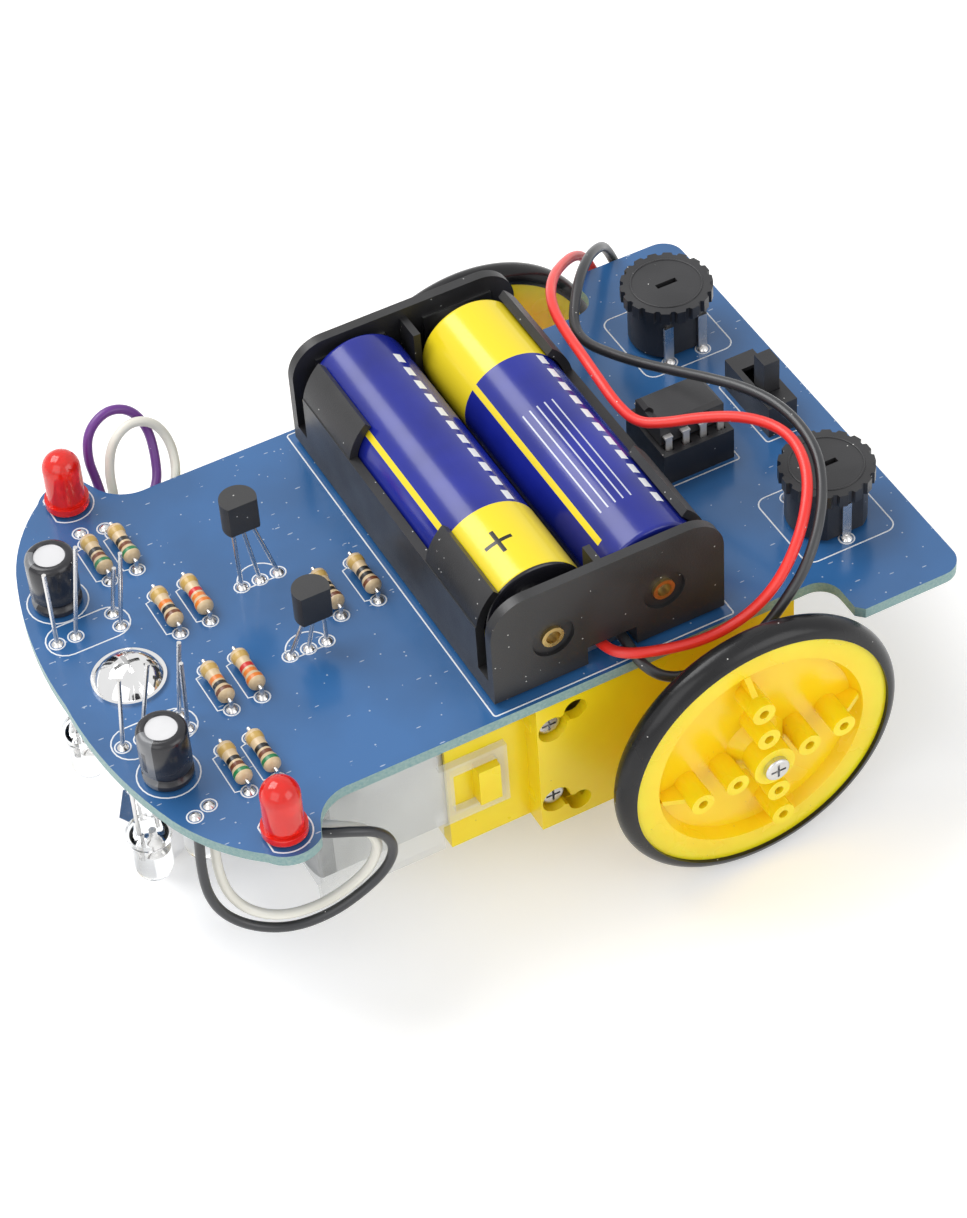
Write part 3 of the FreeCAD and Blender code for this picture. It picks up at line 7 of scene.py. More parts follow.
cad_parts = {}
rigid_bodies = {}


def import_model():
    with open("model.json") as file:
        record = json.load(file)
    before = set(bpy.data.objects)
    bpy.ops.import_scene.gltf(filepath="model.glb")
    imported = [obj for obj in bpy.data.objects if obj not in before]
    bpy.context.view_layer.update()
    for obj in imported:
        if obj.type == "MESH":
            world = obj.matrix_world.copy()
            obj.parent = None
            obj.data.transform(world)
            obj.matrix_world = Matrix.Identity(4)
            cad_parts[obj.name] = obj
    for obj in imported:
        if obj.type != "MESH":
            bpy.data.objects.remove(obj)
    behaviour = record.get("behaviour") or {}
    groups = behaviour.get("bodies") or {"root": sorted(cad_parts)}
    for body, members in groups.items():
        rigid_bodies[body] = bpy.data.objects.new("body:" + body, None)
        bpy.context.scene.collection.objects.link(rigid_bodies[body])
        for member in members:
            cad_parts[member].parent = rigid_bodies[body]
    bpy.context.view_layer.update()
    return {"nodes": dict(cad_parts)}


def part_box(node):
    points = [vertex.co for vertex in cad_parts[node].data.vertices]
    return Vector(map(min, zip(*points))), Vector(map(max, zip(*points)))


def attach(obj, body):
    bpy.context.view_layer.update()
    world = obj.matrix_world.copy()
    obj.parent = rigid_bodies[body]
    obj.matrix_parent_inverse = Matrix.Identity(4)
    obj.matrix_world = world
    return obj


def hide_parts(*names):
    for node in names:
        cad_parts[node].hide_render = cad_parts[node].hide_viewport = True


bl_info = {
    "name": "Line follower robot",
    "version": (1, 0, 0),
    "blender": (4, 5, 0),
    "location": "3D View > Sidebar > Robot",
    "description": "Finishes and free wires of a two wheeled line follower robot",
    "category": "Object",
}

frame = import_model()
NODES = frame["nodes"]
MM = 0.001
DECK = "chassis"
BOARD_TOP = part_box("circuit_board")[1].z
BOARD_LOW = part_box("circuit_board")[0].z
CELL_LOW, CELL_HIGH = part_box("battery_front")
CELL_Z = (CELL_LOW.z + CELL_HIGH.z) / 2
CELL_R = (CELL_HIGH.x - CELL_LOW.x) / 2
REAR_CELL_X = sum(corner.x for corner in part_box("battery_rear")) / 2
AXLE_X = sum(corner.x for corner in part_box("wheel_left")) / 2
AXLE_Z = sum(corner.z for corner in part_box("wheel_left")) / 2
# Bounds of the painted shade in each wheel's recessed dish: across the wheel, and out from the axle
DISH_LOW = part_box("wheel_left")[0].y + 0.0025
DISH_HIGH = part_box("wheel_left")[1].y - 0.0012
DISH_EDGE = (0.0145, 0.0175)
SIDES = (("left", 1), ("right", -1))

# Places on the board, in millimetres
LEAD_PITCH = 2.54
HALF_PITCH = LEAD_PITCH / 2
OUTER_Y = 20.47
INNER_Y = 7.47
HALF_SPAN = 3.81
LAMP_X = 39.2
LAMP_Y = 32.14
CAPACITOR = (47.35, 16.75)
TRANSISTOR = (23.65, 6.95)
SENSOR_FRONT = 49.1
SENSOR_REAR = 42.2
SENSOR_Y = 10.0
TRIMMER = (-43.4, 20.0)
TRIMMER_PIN_OUT = 5.0
WIRE_HOLES = (
    (-43.0, -28.6), (-46.4, -29.8), (45.3, 23.8),
    (47.5, 24.6), (36.9, -25.6), (40.0, -26.4),
)
RESISTORS = (
    (40.15, OUTER_Y, "green brown black gold"),
    (36.35, OUTER_Y, "green brown black gold"),
    (36.3, INNER_Y, "brown black orange gold"),
    (32.15, INNER_Y, "orange orange red gold"),
    (36.3, -INNER_Y, "brown black orange gold"),
    (32.15, -INNER_Y, "orange orange red gold"),
    (40.15, -OUTER_Y, "green brown black gold"),
    (36.35, -OUTER_Y, "green brown black gold"),
    (17.6, 0.2, "brown black black gold"),
    (12.4, 0.2, "brown black black gold"),
)

RED_ROUTE = (
    (-7.0, 25.4, 35.7), (-7.0, 28.0, 36.0), (-8.8, 30.4, 36.4), (-12.8, 31.6, 36.0),
    (-17.8, 32.4, 35.6), (-22.6, 33.1, 36.9), (-26.6, 33.6, 39.9), (-30.1, 33.0, 43.6),
    (-33.8, 30.3, 46.8), (-37.0, 26.0, 48.7), (-38.6, 21.0, 49.2), (-38.3, 16.6, 49.0),
    (-35.6, 12.6, 48.8), (-31.6, 9.4, 48.0), (-27.6, 7.0, 47.0), (-24.9, 4.6, 46.4),
    (-24.0, 1.0, 47.2), (-23.9, -3.4, 48.2), (-24.2, -8.2, 48.4), (-24.9, -13.4, 47.6),
    (-25.9, -18.6, 46.8), (-27.9, -23.6, 45.6), (-30.9, -28.2, 43.7), (-34.4, -32.2, 41.2),
    (-38.0, -35.8, 38.4), (-40.8, -38.2, 35.2), (-42.3, -38.0, 31.6), (-42.8, -36.0, 28.9),
    (-42.9, -33.2, 27.6), (-43.0, -30.4, 27.6), (-43.0, -28.6, 29.5), (-43.0, -28.6, 32.15),
)
BLACK_ROUTE = (
    (-9.9, 25.4, 35.6), (-9.9, 28.3, 35.5), (-10.1, 31.0, 34.3), (-12.4, 33.2, 32.5),
    (-17.0, 34.0, 31.9), (-21.8, 34.2, 32.9), (-25.7, 34.5, 35.6), (-28.6, 34.7, 39.4),
    (-31.6, 34.2, 42.8), (-34.8, 31.8, 45.6), (-37.8, 28.0, 47.4), (-40.2, 23.2, 48.3),
    (-41.0, 18.0, 48.7), (-40.4, 12.8, 48.9), (-38.7, 7.8, 48.4), (-36.5, 3.0, 47.2),
    (-34.3, -2.0, 45.6), (-32.1, -7.2, 43.9), (-30.4, -12.4, 42.4), (-29.3, -17.0, 41.2),
    (-29.6, -20.6, 41.2), (-31.6, -23.8, 42.2), (-34.3, -27.2, 42.8), (-37.6, -30.8, 42.0),
    (-40.8, -34.2, 39.6), (-43.4, -37.2, 36.6), (-45.0, -38.2, 33.4), (-45.9, -37.2, 30.2),
    (-46.3, -34.6, 28.2), (-46.4, -31.8, 27.7), (-46.4, -29.8, 29.4), (-46.4, -29.8, 32.15),
)
LEFT_WHITE_ROUTE = (
    (32.45, 19.4, 28.5), (34.1, 19.4, 28.5), (35.9, 21.2, 28.9), (36.2, 24.6, 29.3),
    (35.0, 27.8, 28.4), (31.8, 29.9, 28.0), (28.6, 30.8, 26.6), (26.9, 31.0, 23.4),
    (28.0, 30.7, 19.3), (31.0, 30.1, 16.3), (35.2, 29.3, 14.2), (39.6, 28.1, 13.7),
    (43.2, 26.6, 15.3), (45.2, 25.2, 18.4), (45.7, 24.4, 22.6), (45.5, 24.0, 26.6),
    (45.3, 23.8, 29.4), (45.3, 23.8, 32.15),
)
LEFT_BLACK_ROUTE = (
    (32.45, 15.8, 28.5), (34.4, 15.8, 28.5), (36.8, 17.4, 29.0), (38.2, 20.6, 29.8),
    (38.3, 24.6, 29.8), (37.4, 28.0, 29.4), (34.4, 31.0, 29.2), (30.6, 32.2, 28.6),
    (27.0, 32.4, 26.6), (25.4, 32.2, 22.8), (26.4, 31.6, 18.7), (29.6, 30.8, 15.3),
    (34.0, 30.0, 12.7), (38.8, 28.8, 11.7), (43.2, 27.4, 13.1), (46.4, 26.2, 16.1),
    (47.8, 25.4, 20.0), (47.9, 24.9, 25.0), (47.5, 24.6, 29.0), (47.5, 24.6, 32.15),
)
RIGHT_WHITE_ROUTE = (
    (32.45, -19.4, 28.5), (34.1, -19.4, 28.5), (34.9, -21.4, 29.4), (32.4, -23.4, 30.5),
    (28.6, -26.2, 30.8), (25.4, -29.8, 31.0), (23.6, -32.6, 32.8), (23.4, -34.6, 35.8),
    (24.9, -35.7, 38.7), (28.0, -36.0, 39.8), (31.0, -35.3, 38.1), (32.4, -34.0, 35.0),
    (32.7, -32.8, 31.7), (33.4, -30.8, 28.8), (35.2, -28.4, 27.4), (36.6, -26.6, 27.8),
    (36.9, -25.6, 29.9), (36.9, -25.6, 32.15),
)
RIGHT_PURPLE_ROUTE = (
    (32.45, -15.8, 28.5), (34.5, -15.8, 28.5), (36.4, -17.8, 29.2), (36.6, -21.2, 30.2),
    (34.4, -24.8, 30.7), (31.0, -28.0, 30.8), (27.0, -31.4, 31.6), (25.6, -34.6, 33.4),
    (25.2, -37.0, 36.6), (26.8, -38.2, 39.8), (30.0, -38.4, 41.0), (33.2, -37.6, 39.4),
    (34.3, -36.2, 36.2), (33.9, -35.2, 32.8), (34.0, -33.0, 29.6), (35.6, -30.6, 27.6),
    (38.0, -28.4, 27.2), (39.8, -26.9, 28.4), (40.0, -26.4, 29.8), (40.0, -26.4, 32.15),
)
WIRES = (
    ("battery_wire_red", RED_ROUTE, 1.4, 138.1),
    ("battery_wire_black", BLACK_ROUTE, 1.4, 136.4),
    ("motor_wire_left_white", LEFT_WHITE_ROUTE, 1.3, 63.0),
    ("motor_wire_left_black", LEFT_BLACK_ROUTE, 1.3, 78.8),
    ("motor_wire_right_white", RIGHT_WHITE_ROUTE, 1.3, 54.0),
    ("motor_wire_right_purple", RIGHT_PURPLE_ROUTE, 1.3, 64.4),
)


# Modelling helpers

def select_only(obj):
    """Leaves obj as the only selected and the active object."""
    for other in bpy.context.view_layer.objects:
        other.select_set(False)
    obj.select_set(True)
    bpy.context.view_layer.objects.active = obj


def clear_selection():
    """Leaves nothing selected."""
    for other in bpy.context.view_layer.objects:
        other.select_set(False)


def settle(obj):
    """Puts an object's place, turn and size in its mesh."""
    select_only(obj)
    bpy.ops.object.transform_apply(location=True, rotation=True, scale=True)


def turned(name, rings, sides=32):
    """A turned form along Z from (radius, height) rings, closed at both ends."""
    clear_selection()
    bpy.ops.mesh.primitive_circle_add(vertices=sides, radius=rings[0][0] * MM, fill_type="NGON",
                                      location=(0, 0, rings[0][1] * MM))
    obj = bpy.context.object
    obj.name = name
    bpy.ops.object.transform_apply(location=True, rotation=False, scale=False)
    bpy.ops.object.mode_set(mode="EDIT")
    bpy.ops.mesh.select_all(action="SELECT")
    for (r0, z0), (r1, z1) in zip(rings, rings[1:]):
        bpy.ops.mesh.extrude_region_move(TRANSFORM_OT_translate={"value": (0, 0, (z1 - z0) * MM)})
        ratio = r1 / r0
        bpy.ops.transform.resize(value=(ratio, ratio, 1), center_override=(0, 0, z1 * MM))
    bpy.ops.mesh.select_all(action="SELECT")
    bpy.ops.mesh.normals_make_consistent(inside=False)
    bpy.ops.object.mode_set(mode="OBJECT")
    bpy.ops.object.shade_smooth_by_angle(angle=math.radians(40))
    return obj


def place(obj, at, turn=(0, 0, 0)):
    """Turns an object and moves it to a point in millimetres."""
    obj.rotation_euler = turn
    obj.location = Vector(at) * MM
    settle(obj)
    return obj


def copy_to(obj, at, turn=(0, 0, 0)):
    """A copy with its own mesh, at a point in millimetres."""
    new = obj.copy()
    new.data = obj.data.copy()
    bpy.context.scene.collection.objects.link(new)
    return place(new, at, turn)


def joined(objects, name):
    """Joins the objects into one with the given name."""
    select_only(objects[0])
    for obj in objects:
        obj.select_set(True)
    if len(objects) > 1:
        bpy.ops.object.join()
    objects[0].name = name
    return objects[0]


def remove(obj):
    bpy.data.objects.remove(obj)


def block(name, low, high, soften=0.0, segments=2):
    """A box between two corners in millimetres, with its edges softened."""
    clear_selection()
    low = Vector(low) * MM
    high = Vector(high) * MM
    bpy.ops.mesh.primitive_cube_add(size=1, location=(low + high) / 2)
    obj = bpy.context.object
    obj.name = name
    obj.scale = high - low
    settle(obj)
    if soften:
        bevel = obj.modifiers.new("soften", "BEVEL")
        bevel.width = soften * MM
        bevel.segments = segments
        bpy.ops.object.modifier_apply(modifier=bevel.name)
        bpy.ops.object.shade_smooth_by_angle(angle=math.radians(40))
    return obj


def finish_piece(obj, mat, body, nodes=()):
    """Gives a piece its material, its body and the nodes it stands for."""
    if mat is not None:
        obj.data.materials.clear()
        obj.data.materials.append(mat)
    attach(obj, body)
    if nodes:
        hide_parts(*nodes)
    return obj


def dress(node, mat):
    """Gives a CAD node its material."""
    obj = NODES[node]
    obj.data.materials.clear()
    obj.data.materials.append(mat)


# Material helpers

def new_node(tree, kind, **settings):
    node = tree.nodes.new(kind)
    for key, value in settings.items():
        setattr(node, key, value)
    return node


def feed(tree, socket, value):
    """Links an output into a socket, or sets the socket's number."""
    if isinstance(value, bpy.types.NodeSocket):
        tree.links.new(value, socket)
    else:
        socket.default_value = value


def math_node(tree, operation, *values):
    """The output of one math step."""
    node = new_node(tree, "ShaderNodeMath", operation=operation)
    for socket, value in zip(node.inputs, values):
        feed(tree, socket, value)
    return node.outputs[0]


def mixed(tree, factor, first, second):
    """Blends two colours by a mask."""
    node = new_node(tree, "ShaderNodeMix", data_type="RGBA")
    feed(tree, node.inputs[0], factor)
    feed(tree, node.inputs[6], first)
    feed(tree, node.inputs[7], second)
    return node.outputs[2]


def ramped(tree, value, low, high, to_low=0.0, to_high=1.0):
    """Maps one range of values onto another, held at its ends."""
    node = new_node(tree, "ShaderNodeMapRange")
    for socket, number in zip(node.inputs, (value, low, high, to_low, to_high)):
        feed(tree, socket, number)
    return node.outputs[0]


def between(tree, value, low, high):
    """1 where low < value < high."""
    above = math_node(tree, "GREATER_THAN", value, low)
    below = math_node(tree, "LESS_THAN", value, high)
    return math_node(tree, "MULTIPLY", above, below)


def product(tree, first, second):
    """Two masks or values multiplied."""
    return math_node(tree, "MULTIPLY", first, second)


def band(tree, value, ends):
    """1 where a place lies between two ends in millimetres."""
    return between(tree, value, ends[0] * MM, ends[1] * MM)


def distance_to(tree, first, second):
    """The length of two offsets at right angles."""
    total = math_node(tree, "ADD", product(tree, first, first), product(tree, second, second))
    return math_node(tree, "SQRT", total)


def rgba(red, green, blue):
    return (red, green, blue, 1.0)


SPECK_R = 0.13


def surface_group():
    """Shared wear: fine height, slow shade and specks of dust, from a place."""
    tree = bpy.data.node_groups.new("surface_wear", "ShaderNodeTree")
    for label, kind in (("Place", "NodeSocketVector"), ("Grain Scale", "NodeSocketFloat"),
                        ("Shade Scale", "NodeSocketFloat"), ("Speck Scale", "NodeSocketFloat"),
                        ("Speck Share", "NodeSocketFloat")):
        tree.interface.new_socket(label, in_out="INPUT", socket_type=kind)
    for label in ("Height", "Shade", "Specks"):
        tree.interface.new_socket(label, in_out="OUTPUT", socket_type="NodeSocketFloat")
    ins = new_node(tree, "NodeGroupInput")
    outs = new_node(tree, "NodeGroupOutput")
    grain = new_node(tree, "ShaderNodeTexNoise")
    grain.inputs["Detail"].default_value = 4
    shade = new_node(tree, "ShaderNodeTexNoise")
    shade.inputs["Detail"].default_value = 3
    speck = new_node(tree, "ShaderNodeTexVoronoi")
    for node, label in ((grain, "Grain Scale"), (shade, "Shade Scale"), (speck, "Speck Scale")):
        tree.links.new(ins.outputs["Place"], node.inputs["Vector"])
        tree.links.new(ins.outputs[label], node.inputs["Scale"])
    near = math_node(tree, "LESS_THAN", speck.outputs["Distance"], SPECK_R)
    split = new_node(tree, "ShaderNodeSeparateColor")
    tree.links.new(speck.outputs["Color"], split.inputs[0])
    chosen = math_node(tree, "LESS_THAN", split.outputs[0], ins.outputs["Speck Share"])
    specks = math_node(tree, "MULTIPLY", near, chosen)
    tree.links.new(grain.outputs[0], outs.inputs["Height"])
    tree.links.new(shade.outputs[0], outs.inputs["Shade"])
    tree.links.new(specks, outs.inputs["Specks"])
    return tree


SHARED = {}


class Finish:
    """A material being built: its tree, its shader and the shared wear."""

    def __init__(self, name, grain=9000.0, shade=120.0, speck=1500.0, share=0.0, vector=None):
        self.mat = bpy.data.materials.new(name)
        self.mat.use_nodes = True
        self.tree = self.mat.node_tree
        self.shader = self.tree.nodes["Principled BSDF"]
        if "surface_wear" not in SHARED:
            SHARED["surface_wear"] = surface_group()
        self.coords = new_node(self.tree, "ShaderNodeTexCoord")
        self.wear = new_node(self.tree, "ShaderNodeGroup", node_tree=SHARED["surface_wear"])
        source = self.coords.outputs["Object"] if vector is None else vector
        self.tree.links.new(source, self.wear.inputs["Place"])
        for label, value in (("Grain Scale", grain), ("Shade Scale", shade),
                             ("Speck Scale", speck), ("Speck Share", share)):
            self.wear.inputs[label].default_value = value
        split = new_node(self.tree, "ShaderNodeSeparateXYZ")
        self.tree.links.new(self.coords.outputs["Object"], split.inputs[0])
        self.x, self.y, self.z = split.outputs

    def plain(self, **numbers):
        for key, value in numbers.items():
            self.shader.inputs[key.replace("_", " ")].default_value = value
        return self

    def colour(self, main, second, dust=rgba(0.7, 0.7, 0.68), contrast=(0.35, 0.65)):
        """Main and second colours by the slow shade, with dust on top."""
        shade = ramped(self.tree, self.wear.outputs["Shade"], contrast[0], contrast[1])
        base = mixed(self.tree, shade, main, second)
        top = mixed(self.tree, self.wear.outputs["Specks"], base, dust)
        self.tree.links.new(top, self.shader.inputs["Base Color"])
        return self

    def tint(self, mask, colour):
        """Lays another colour over the present one where the mask is 1."""
        socket = self.shader.inputs["Base Color"]
        present = socket.links[0].from_socket
        self.tree.links.new(mixed(self.tree, mask, present, colour), socket)
        return self

    def rough(self, low, high):
        value = ramped(self.tree, self.wear.outputs["Shade"], 0.3, 0.7, low, high)
        self.tree.links.new(value, self.shader.inputs["Roughness"])
        return self

    def bump(self, depth, height=None):
        node = new_node(self.tree, "ShaderNodeBump")
        node.inputs["Distance"].default_value = depth * MM
        node.inputs["Strength"].default_value = 1.0
        feed(self.tree, node.inputs["Height"], height or self.wear.outputs["Height"])
        self.tree.links.new(node.outputs[0], self.shader.inputs["Normal"])
        return self


def plastic(name, main, second, low=0.3, high=0.42, grain=9000.0, depth=0.01, share=0.0,
            dust=None):
    """A moulded plastic finish with dust on it."""
    finish = Finish(name, grain=grain, share=share)
    finish.colour(main, second, dust or rgba(0.6, 0.6, 0.58))
    finish.rough(low, high).bump(depth)
    return finish


def metal(name, main, second, low, high, grain=7000.0, depth=0.004):
    """A bare metal finish."""
    finish = Finish(name, grain=grain)
    finish.colour(main, second).rough(low, high).bump(depth).plain(Metallic=1.0)
    return finish


def clear_resin(name, tint, rough_low, rough_high, ior=1.5):
    """A resin that lets light through."""
    finish = Finish(name, grain=2500.0)
    finish.colour(tint, tint).rough(rough_low, rough_high).bump(0.004)
    finish.plain(Transmission_Weight=1.0, IOR=ior)
    return finish


def shared_finish(name, maker, *values, **named):
    """Builds a finish once and gives it out again by name."""
    if name not in SHARED:
        SHARED[name] = maker(name, *values, **named).mat
    return SHARED[name]


def tin():
    return shared_finish("tinned_wire", metal, rgba(0.74, 0.73, 0.72), rgba(0.6, 0.59, 0.58),
                         0.2, 0.32, depth=0.0008)


def black_moulding():
    return shared_finish("black_moulding", plastic, rgba(0.012, 0.012, 0.014),
                         rgba(0.022, 0.022, 0.024), low=0.34, high=0.5, grain=6000.0,
                         depth=0.02, share=0.05)


def yellow_moulding():
    if "yellow_moulding" not in SHARED:
        finish = plastic("yellow_moulding", rgba(0.93, 0.72, 0.01), rgba(0.9, 0.67, 0.008),
                         low=0.26, high=0.38, grain=5000.0, depth=0.008, share=0.03,
                         dust=rgba(0.5, 0.36, 0.05))
        finish.plain(Subsurface_Weight=0.15, Subsurface_Scale=0.0015)
        SHARED["yellow_moulding"] = finish.mat
    return SHARED["yellow_moulding"]


# Circuit board

HAIR_ANGLES = (20.0, 75.0, 140.0)
HAIR_STRETCH = 4.5
HAIR_CELLS = 260.0
HAIR_R = 0.1
HAIR_SHARE = 0.16


def hairs(tree, place, angle):
    """Sparse short fibres of dust that lie one way."""
    turn = new_node(tree, "ShaderNodeMapping")
    turn.inputs["Rotation"].default_value = (0, 0, math.radians(angle))
    turn.inputs["Scale"].default_value = (1.0, HAIR_STRETCH, 1.0)
    tree.links.new(place, turn.inputs["Vector"])
    cells = new_node(tree, "ShaderNodeTexVoronoi")
    cells.inputs["Scale"].default_value = HAIR_CELLS
    tree.links.new(turn.outputs[0], cells.inputs["Vector"])
    split = new_node(tree, "ShaderNodeSeparateColor")
    tree.links.new(cells.outputs["Color"], split.inputs[0])
    near = math_node(tree, "LESS_THAN", cells.outputs["Distance"], HAIR_R)
    return product(tree, near, math_node(tree, "LESS_THAN", split.outputs[0], HAIR_SHARE))


def board_finish(settings):
    """Blue mask with dust on its faces, and bare glass fibre at its cut edge."""
    finish = Finish("board_blue", grain=2600.0, shade=60.0, speck=1100.0, share=0.2)
    tree = finish.tree
    mask_colour = (*settings.board_colour, 1.0)
    darker = tuple(c * 0.78 for c in settings.board_colour) + (1.0,)
    shade = ramped(tree, finish.wear.outputs["Shade"], 0.35, 0.65)
    face = mixed(tree, shade, mask_colour, darker)
    dust = finish.wear.outputs["Specks"]
    for angle in HAIR_ANGLES:
        dust = math_node(tree, "MAXIMUM", dust, hairs(tree, finish.coords.outputs["Object"], angle))
    face = mixed(tree, product(tree, dust, 0.6), face, rgba(0.55, 0.62, 0.7))
    geometry = new_node(tree, "ShaderNodeNewGeometry")
    split = new_node(tree, "ShaderNodeSeparateXYZ")
    tree.links.new(geometry.outputs["True Normal"], split.inputs[0])
    level = math_node(tree, "GREATER_THAN", math_node(tree, "ABSOLUTE", split.outputs[2]), 0.5)
    fibre = new_node(tree, "ShaderNodeTexNoise")
    fibre.inputs["Scale"].default_value = 3000.0
    tree.links.new(finish.coords.outputs["Object"], fibre.inputs["Vector"])
    edge = mixed(tree, fibre.outputs[0], rgba(0.1, 0.24, 0.26), rgba(0.34, 0.46, 0.42))
    tree.links.new(mixed(tree, level, edge, face), finish.shader.inputs["Base Color"])
    tree.links.new(ramped(tree, level, 0.0, 1.0, 0.7, 0.24), finish.shader.inputs["Roughness"])
    finish.bump(0.006)
    finish.plain(Coat_Weight=0.3, Coat_Roughness=0.12)
    return finish.mat


def ring_points(x, y, r, start=0.0, end=360.0, count=28):
    """Points along an arc, in degrees."""
    return [(x + r * math.cos(math.radians(start + (end - start) * k / count)),
             y + r * math.sin(math.radians(start + (end - start) * k / count)))
            for k in range(count + 1)]


def rounded_box(x0, x1, y0, y1, r):
    """A closed outline with rounded corners."""
    points = []
    corners = ((x1 - r, y1 - r), (x0 + r, y1 - r), (x0 + r, y0 + r), (x1 - r, y0 + r))
    for quarter, (cx, cy) in enumerate(corners):
        points += ring_points(cx, cy, r, 90 * quarter, 90 * quarter + 90, 5)
    return points + points[:1]


def pads():
    """Every soldered hole on the upper face, in millimetres."""
    places = []
    for x, y, bands in RESISTORS:
        places += [(x, y + HALF_SPAN), (x, y - HALF_SPAN)]
    for name, side in SIDES:
        places += [(TRANSISTOR[0] + k * LEAD_PITCH, side * TRANSISTOR[1]) for k in (-1, 0, 1)]
        places += [(SENSOR_FRONT + s * HALF_PITCH, side * SENSOR_Y) for s in (1, -1)]
        places += [(SENSOR_REAR, side * SENSOR_Y + s * HALF_PITCH) for s in (1, -1)]
        places += [(LAMP_X + s * HALF_PITCH, side * LAMP_Y) for s in (1, -1)]
        inner, outer = (side * (TRIMMER[1] + k * TRIMMER_PIN_OUT) for k in (-1, 1))
        places += [(TRIMMER[0] + k * LEAD_PITCH, inner) for k in (-1, 1)]
        places.append((TRIMMER[0], outer))
    return places + list(WIRE_HOLES)


PAD_PRINT_R = 1.0
LAMP_PRINT_R = 3.35
LAMP_PRINT_ARC = (40, 320)
CAPACITOR_PRINT_R = 3.9
TRANSISTOR_PRINT_R = 2.9
TRANSISTOR_PRINT_ARC = (168, 372)
TRIMMER_PRINT_HALF = 6.6
SENSOR_PRINT_HALF = 2.7
RESISTOR_PRINT = ((0.7, -3.3), (1.6, -3.1), (1.6, 3.1), (0.7, 3.3))
HOLDER_PRINT = (-24.6, 9.2, -28.9, 28.9)
SWITCH_PRINT = (-49.4, -43.9, -7.5, 4.9)
CHIP_PRINT = (-39.4, -28.0, -5.6, 5.6)


def print_lines():
    """Outlines printed on the board, as lists of points in millimetres."""
    lines = []
    for x, y, bands in RESISTORS:
        lines.append([(x + dx, y + dy) for dx, dy in RESISTOR_PRINT])
    for name, side in SIDES:
        arc = ring_points(LAMP_X, side * LAMP_Y, LAMP_PRINT_R, *LAMP_PRINT_ARC)
        lines += [arc, [arc[0], arc[-1]]]
        lines.append(ring_points(CAPACITOR[0], side * CAPACITOR[1], CAPACITOR_PRINT_R))
        x, y = TRANSISTOR
        arc = ring_points(x, side * y, TRANSISTOR_PRINT_R, *TRANSISTOR_PRINT_ARC)
        lines += [arc, [arc[0], arc[-1]]]
        y = side * SENSOR_Y
        lines.append(rounded_box(SENSOR_REAR - 1.6, SENSOR_FRONT + 2.6,
                                 y - SENSOR_PRINT_HALF, y + SENSOR_PRINT_HALF, 2.6))
        x, y, half = TRIMMER[0], side * TRIMMER[1], TRIMMER_PRINT_HALF
        lines.append(rounded_box(x - half, x + half, y - half, y + half, 1.5))
    for outline in (HOLDER_PRINT, SWITCH_PRINT, CHIP_PRINT):
        lines.append(rounded_box(*outline, 0.4))
    return lines


def printed_outlines(settings):
    """The white print: one flat ribbon along every outline and pad."""
    data = bpy.data.curves.new("board_print", "CURVE")
    data.dimensions = "3D"
    data.bevel_depth = settings.print_width / 2
    data.bevel_resolution = 1
    lines = print_lines() + [ring_points(x, y, PAD_PRINT_R, 0, 360, 20) for x, y in pads()]
    for points in lines:
        spline = data.splines.new("POLY")
        spline.points.add(len(points) - 1)
        for k, (x, y) in enumerate(points):
            spline.points[k].co = (x * MM, y * MM, 0, 1)
    obj = bpy.data.objects.new("board_print", data)
    bpy.context.scene.collection.objects.link(obj)
    select_only(obj)
    bpy.ops.object.convert(target="MESH")
    obj = bpy.context.object
    obj.scale = (1, 1, 0.3)
    obj.location = (0, 0, BOARD_TOP)
    settle(obj)
    return obj


SOLDER_RINGS = ((0.8, -0.05), (0.74, 0.08), (0.5, 0.26), (0.34, 0.44), (0.12, 0.5))


def solder_joints():
    cone = turned("solder", SOLDER_RINGS, sides=16)
    joints = [copy_to(cone, (x, y, BOARD_TOP / MM)) for x, y in pads()]
    remove(cone)
    return joined(joints, "solder_joints")


# Bodies of the small parts

BAND_COLOURS = {
    "brown": (0.16, 0.045, 0.015), "black": (0.012, 0.012, 0.012), "red": (0.6, 0.02, 0.015),
    "orange": (0.75, 0.2, 0.02), "green": (0.02, 0.2, 0.07), "gold": (0.55, 0.36, 0.1),
}
BAND_AT = (2.25, 1.05, 0.0, -1.95)
BAND_HALF = 0.36
RESISTOR_UP = 1.5
RESISTOR_RINGS = (
    (0.35, -3.25), (0.8, -3.15), (1.08, -2.85), (1.15, -2.35), (1.13, -1.85), (1.0, -1.45),
    (0.95, -1.3), (0.95, -0.6), (0.95, -0.35), (0.95, 0.35), (0.95, 0.7), (0.97, 1.35),
    (1.1, 1.7), (1.14, 1.95), (1.15, 2.55), (1.08, 2.85), (0.8, 3.15), (0.35, 3.25),
)
CAPACITOR_RINGS = (
    (2.6, 0.0), (3.05, 0.15), (3.2, 0.5), (3.2, 1.0), (2.85, 1.35), (2.78, 1.6), (2.95, 1.95),
    (3.2, 2.25), (3.2, 7.6), (3.1, 8.0), (2.8, 8.3), (2.45, 8.4), (2.1, 8.38), (2.0, 8.2),
    (1.95, 8.15),
)
CAPACITOR_TOP_UP = 8.14
CAPACITOR_TOP_R = 2.02
CUP_RINGS = ((0.5, 0.0), (0.55, 2.4), (0.9, 3.0), (1.05, 3.6), (0.8, 3.62), (0.5, 3.2))
POST_LEN = 3.9
LAMP_CUP_UP = 0.9
SENSOR_CUP_DOWN = 0.4
CHIP_BODY_HALF = 3.22
DIAL_RING_R = 4.75
DIAL_RING_WIRE_R = 0.13


def lacquer(name, colour):
    """A paint coat of one colour, a little darker in places."""
    second = tuple(c * 0.85 for c in colour)
    finish = plastic(name, rgba(*colour), rgba(*second), low=0.24, high=0.36, grain=4000.0,
                     depth=0.008)
    return finish.mat


